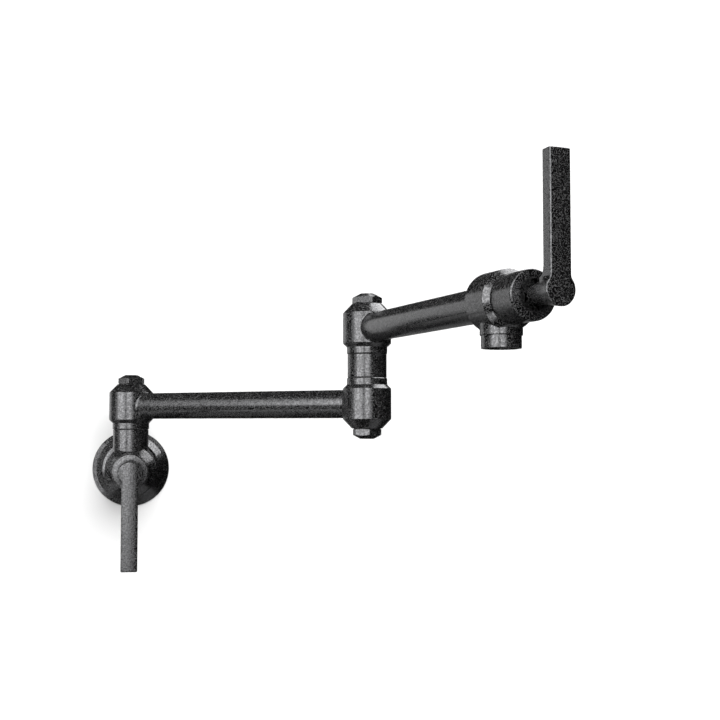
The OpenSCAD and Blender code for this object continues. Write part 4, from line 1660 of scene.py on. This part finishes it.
@dataclass
class Studio:
    """The camera, the lights, the wall behind the tap and the floor under it."""

    camera_at: Spot = (7.07, -1117.3, 40.61)
    yaw: float = 10.688
    pitch: float = 3.167
    focal_px: float = 1168.87
    boxes: tuple[SoftBox, ...] = (
        SoftBox(-70, -42, -5, 38, 4.6, 6.0, 18.0, 3.0),
        SoftBox(-86, -70, 1, 34, 1.2, 8.0, 6.0, 4.0, 5.0),
        SoftBox(-94, -80, -41, -35, 0.9, 3.0, 3.0, 3.0, 3.0),
        SoftBox(-16, -10, 3, 50, 5.0, 13.0, 26.0, 17.0, 20.0),
        SoftBox(34, 50, -4, 16, 0.06, 8.0, 8.0),
        SoftBox(-150, -62, -54, -42, 0.35),
        SoftBox(-82, -62, -42, -10, 0.12),
        SoftBox(-50, -30, -54, -40, 3.2),
        SoftBox(-150, -132, -18, 16, 0.95, 14.0, 10.0),
        SoftBox(-180, -150, -24, 14, 0.22, 1.0, 8.0),
        SoftBox(150, 180, -24, 14, 0.22, 8.0, 1.0),
        SoftBox(60, 110, -80, -48, 0.5),
    )
    dim: float = 0.014  # the dark studio round the boxes
    dim_rise: float = 0.03  # what its top has more
    near_words: tuple[str, ...] = ("flange", "inlet", "wall")
    near_panel: Panel = Panel("near_panel", (370, -10, 350), 45, (140, 330), 7.0)
    far_panel: Panel = Panel("far_panel", (470, -145, 540), 27, (690, 400), 5.5)
    side_panel: Panel = Panel("side_panel", (-587, -125, -290), -90, (168, 520), 2.1)
    wall: Backdrop = Backdrop(
        "wall", (0.2, 0.0005, 0.3), (1.6, 1.0, 1.0), (math.pi / 2, 0, 0), 0.3, 0.17
    )
    floor: Backdrop = Backdrop("floor", (0.2, -1.5, -0.62), (1.6, 1.6, 1.0), (0, 0, 0), 0.4, 0.4)
    key_energy: float = 9.4
    key_width: float = 46.0
    key_from: Spot = (0.25, -1.0, 0.6)

    def camera(self) -> None:
        """Sets up the camera at the photograph's view."""
        data = bpy.data.cameras.new("view")
        eye = bpy.data.objects.new("view", data)
        bpy.context.scene.collection.objects.link(eye)
        yaw, pitch = math.radians(self.yaw), math.radians(self.pitch)
        level = math.cos(pitch)
        ahead = Vector((math.sin(yaw) * level, math.cos(yaw) * level, math.sin(pitch)))
        right = Vector((math.cos(yaw), -math.sin(yaw), 0))
        up = right.cross(ahead)
        turn = Matrix((right, up, -ahead)).transposed().to_4x4()
        eye.matrix_world = Matrix.Translation(Vector(self.camera_at) * MM) @ turn
        data.sensor_width = 36.0
        data.lens = self.focal_px / PICTURE_PX * data.sensor_width
        data.clip_start, data.clip_end = 0.01, 50
        bpy.context.scene.camera = eye

    def sky(self) -> None:
        """Paints the surroundings: white to the camera, dark with soft boxes to the metal."""
        world = bpy.data.worlds.new("studio")
        bpy.context.scene.world = world
        world.use_nodes = True
        board = NodeBoard(world.node_tree)
        where = board.wire("ShaderNodeTexCoord", output="Generated")
        apart = board.node("ShaderNodeSeparateXYZ", inputs={0: where})
        x, y, z = (Wire(board, socket) for socket in apart.outputs)
        to_degrees = 180 / math.pi
        around = x.math("ARCTAN2", y * -1.0) * to_degrees
        height = z.math("ARCSINE") * to_degrees
        glow = self.dim + self.dim_rise * z.rising(-0.2, 1.0)
        for box in self.boxes:
            patch = around.inside(box.left, box.right, box.soft_left, box.soft_right)
            patch = patch * height.inside(box.low, box.high, box.soft_low, box.soft_high)
            glow = patch * box.strength + glow
        seen = board.wire("ShaderNodeLightPath", output="Is Camera Ray")
        inputs = {"Color": (1, 1, 1, 1), "Strength": seen + (1 - seen) * glow}
        around_all = board.node("ShaderNodeBackground", inputs=inputs)
        board.node("ShaderNodeOutputWorld", inputs={"Surface": around_all.outputs[0]})

    def lamp(
        self, name: str, kind: str, lit: Sequence[bpy.types.Object], **settings: Any
    ) -> bpy.types.Object:
        """Makes a lamp that lights only some objects.

        Args:
            name: its name.
            kind: its type.
            lit: the objects that it lights.
            settings: the lamp's own settings.

        Returns:
            The lamp.
        """
        data = bpy.data.lights.new(name, kind)
        for key, value in settings.items():
            setattr(data, key, value)
        holder = bpy.data.objects.new(name, data)
        bpy.context.scene.collection.objects.link(holder)
        holder.rotation_mode = "QUATERNION"
        holder.visible_camera = False
        group = bpy.data.collections.new(name)
        for piece in lit:
            group.objects.link(piece)
        holder.light_linking.receiver_collection = group
        return holder

    def hang(self, panel: Panel, lit: Sequence[bpy.types.Object]) -> None:
        """Hangs one panel.

        Args:
            panel: the panel.
            lit: the objects that it lights.
        """
        deep, wide = panel.size
        power = panel.glow * math.pi * (deep * wide * MM * MM)
        settings = {"shape": "RECTANGLE", "size": wide * MM, "size_y": deep * MM, "energy": power}
        holder = self.lamp(panel.name, "AREA", lit, **settings)
        holder.location = Vector(panel.at) * MM
        turn = Matrix.Rotation(math.radians(panel.lean), 3, "Y")
        holder.rotation_quaternion = turn.to_quaternion()
        holder.visible_diffuse = False

    def stretch(self, sheet: Backdrop) -> bpy.types.Object:
        """Stretches one backdrop.

        Args:
            sheet: the backdrop.

        Returns:
            The object.
        """
        Bench.clear()
        bpy.ops.mesh.primitive_plane_add(size=2, location=sheet.middle, rotation=sheet.turn)
        plane = bpy.context.object
        plane.name = sheet.name
        plane.scale = sheet.half
        bpy.ops.object.transform_apply(location=True, rotation=True, scale=True)
        made = bpy.data.materials.new(sheet.name)
        made.use_nodes = True
        board = NodeBoard(made.node_tree)
        seen = board.wire("ShaderNodeLightPath", output="Is Camera Ray")
        behind = board.wire("ShaderNodeNewGeometry", output="Backfacing")
        grey = (sheet.shade, sheet.shade, sheet.shade, 1)
        matt = board.wire("ShaderNodeBsdfDiffuse", inputs={"Color": grey})
        white = {"Color": (1, 1, 1, 1), "Strength": seen * sheet.lift}
        glow = board.wire("ShaderNodeEmission", inputs=white)
        lit = board.wire("ShaderNodeAddShader", inputs={0: matt, 1: glow})
        clear = board.wire("ShaderNodeBsdfTransparent")
        out = board.wire("ShaderNodeMixShader", inputs={0: behind, 1: lit, 2: clear})
        board.node("ShaderNodeOutputMaterial", inputs={"Surface": out})
        plane.data.materials.append(made)
        plane.visible_glossy = False
        plane.visible_diffuse = False
        return plane

    def build(self, pieces: Sequence[bpy.types.Object]) -> None:
        """Sets up the whole studio.

        Args:
            pieces: the pieces of the tap.
        """
        bpy.context.scene.view_settings.view_transform = "Standard"
        self.camera()
        self.sky()
        near_wall = [piece for piece in pieces if piece.name.startswith(self.near_words)]
        self.hang(self.near_panel, near_wall)
        self.hang(self.far_panel, [piece for piece in pieces if piece not in near_wall])
        self.hang(self.side_panel, [piece for piece in near_wall if piece.name == "flange"])
        sheets = [self.stretch(sheet) for sheet in (self.wall, self.floor)]
        settings = {"energy": self.key_energy, "angle": math.radians(self.key_width)}
        key = self.lamp("key", "SUN", sheets, **settings)
        key.rotation_quaternion = Vector(self.key_from).to_track_quat("Z", "Y")
        shades = bpy.data.collections.new("shades")
        for piece in near_wall:
            if not piece.name.endswith("handle"):
                shades.objects.link(piece)
        key.light_linking.blocker_collection = shades
        LOG.info("studio ready")


def main() -> None:
    """Builds and dresses the tap, then sets up the studio."""
    logging.basicConfig(level=logging.INFO, format="%(message)s")
    layout = Layout()
    assemblies: list[SubAssembly] = [
        WallFlange(layout),
        InletValve(layout),
        Swivels(layout),
        ArmTubes(layout),
        OutletValve(layout),
        SpoutTip(layout),
        LeverHandle(layout),
        LeverHandle(layout, word="outlet", body=Body.OUTLET_HANDLE, turn=0.0),
    ]
    for assembly in assemblies:
        assembly.build()
        assembly.dress()
    InnerParts().dress()
    Studio().build([piece for assembly in assemblies for piece, *_ in assembly.pieces])


if __name__ == "__main__":
    main()
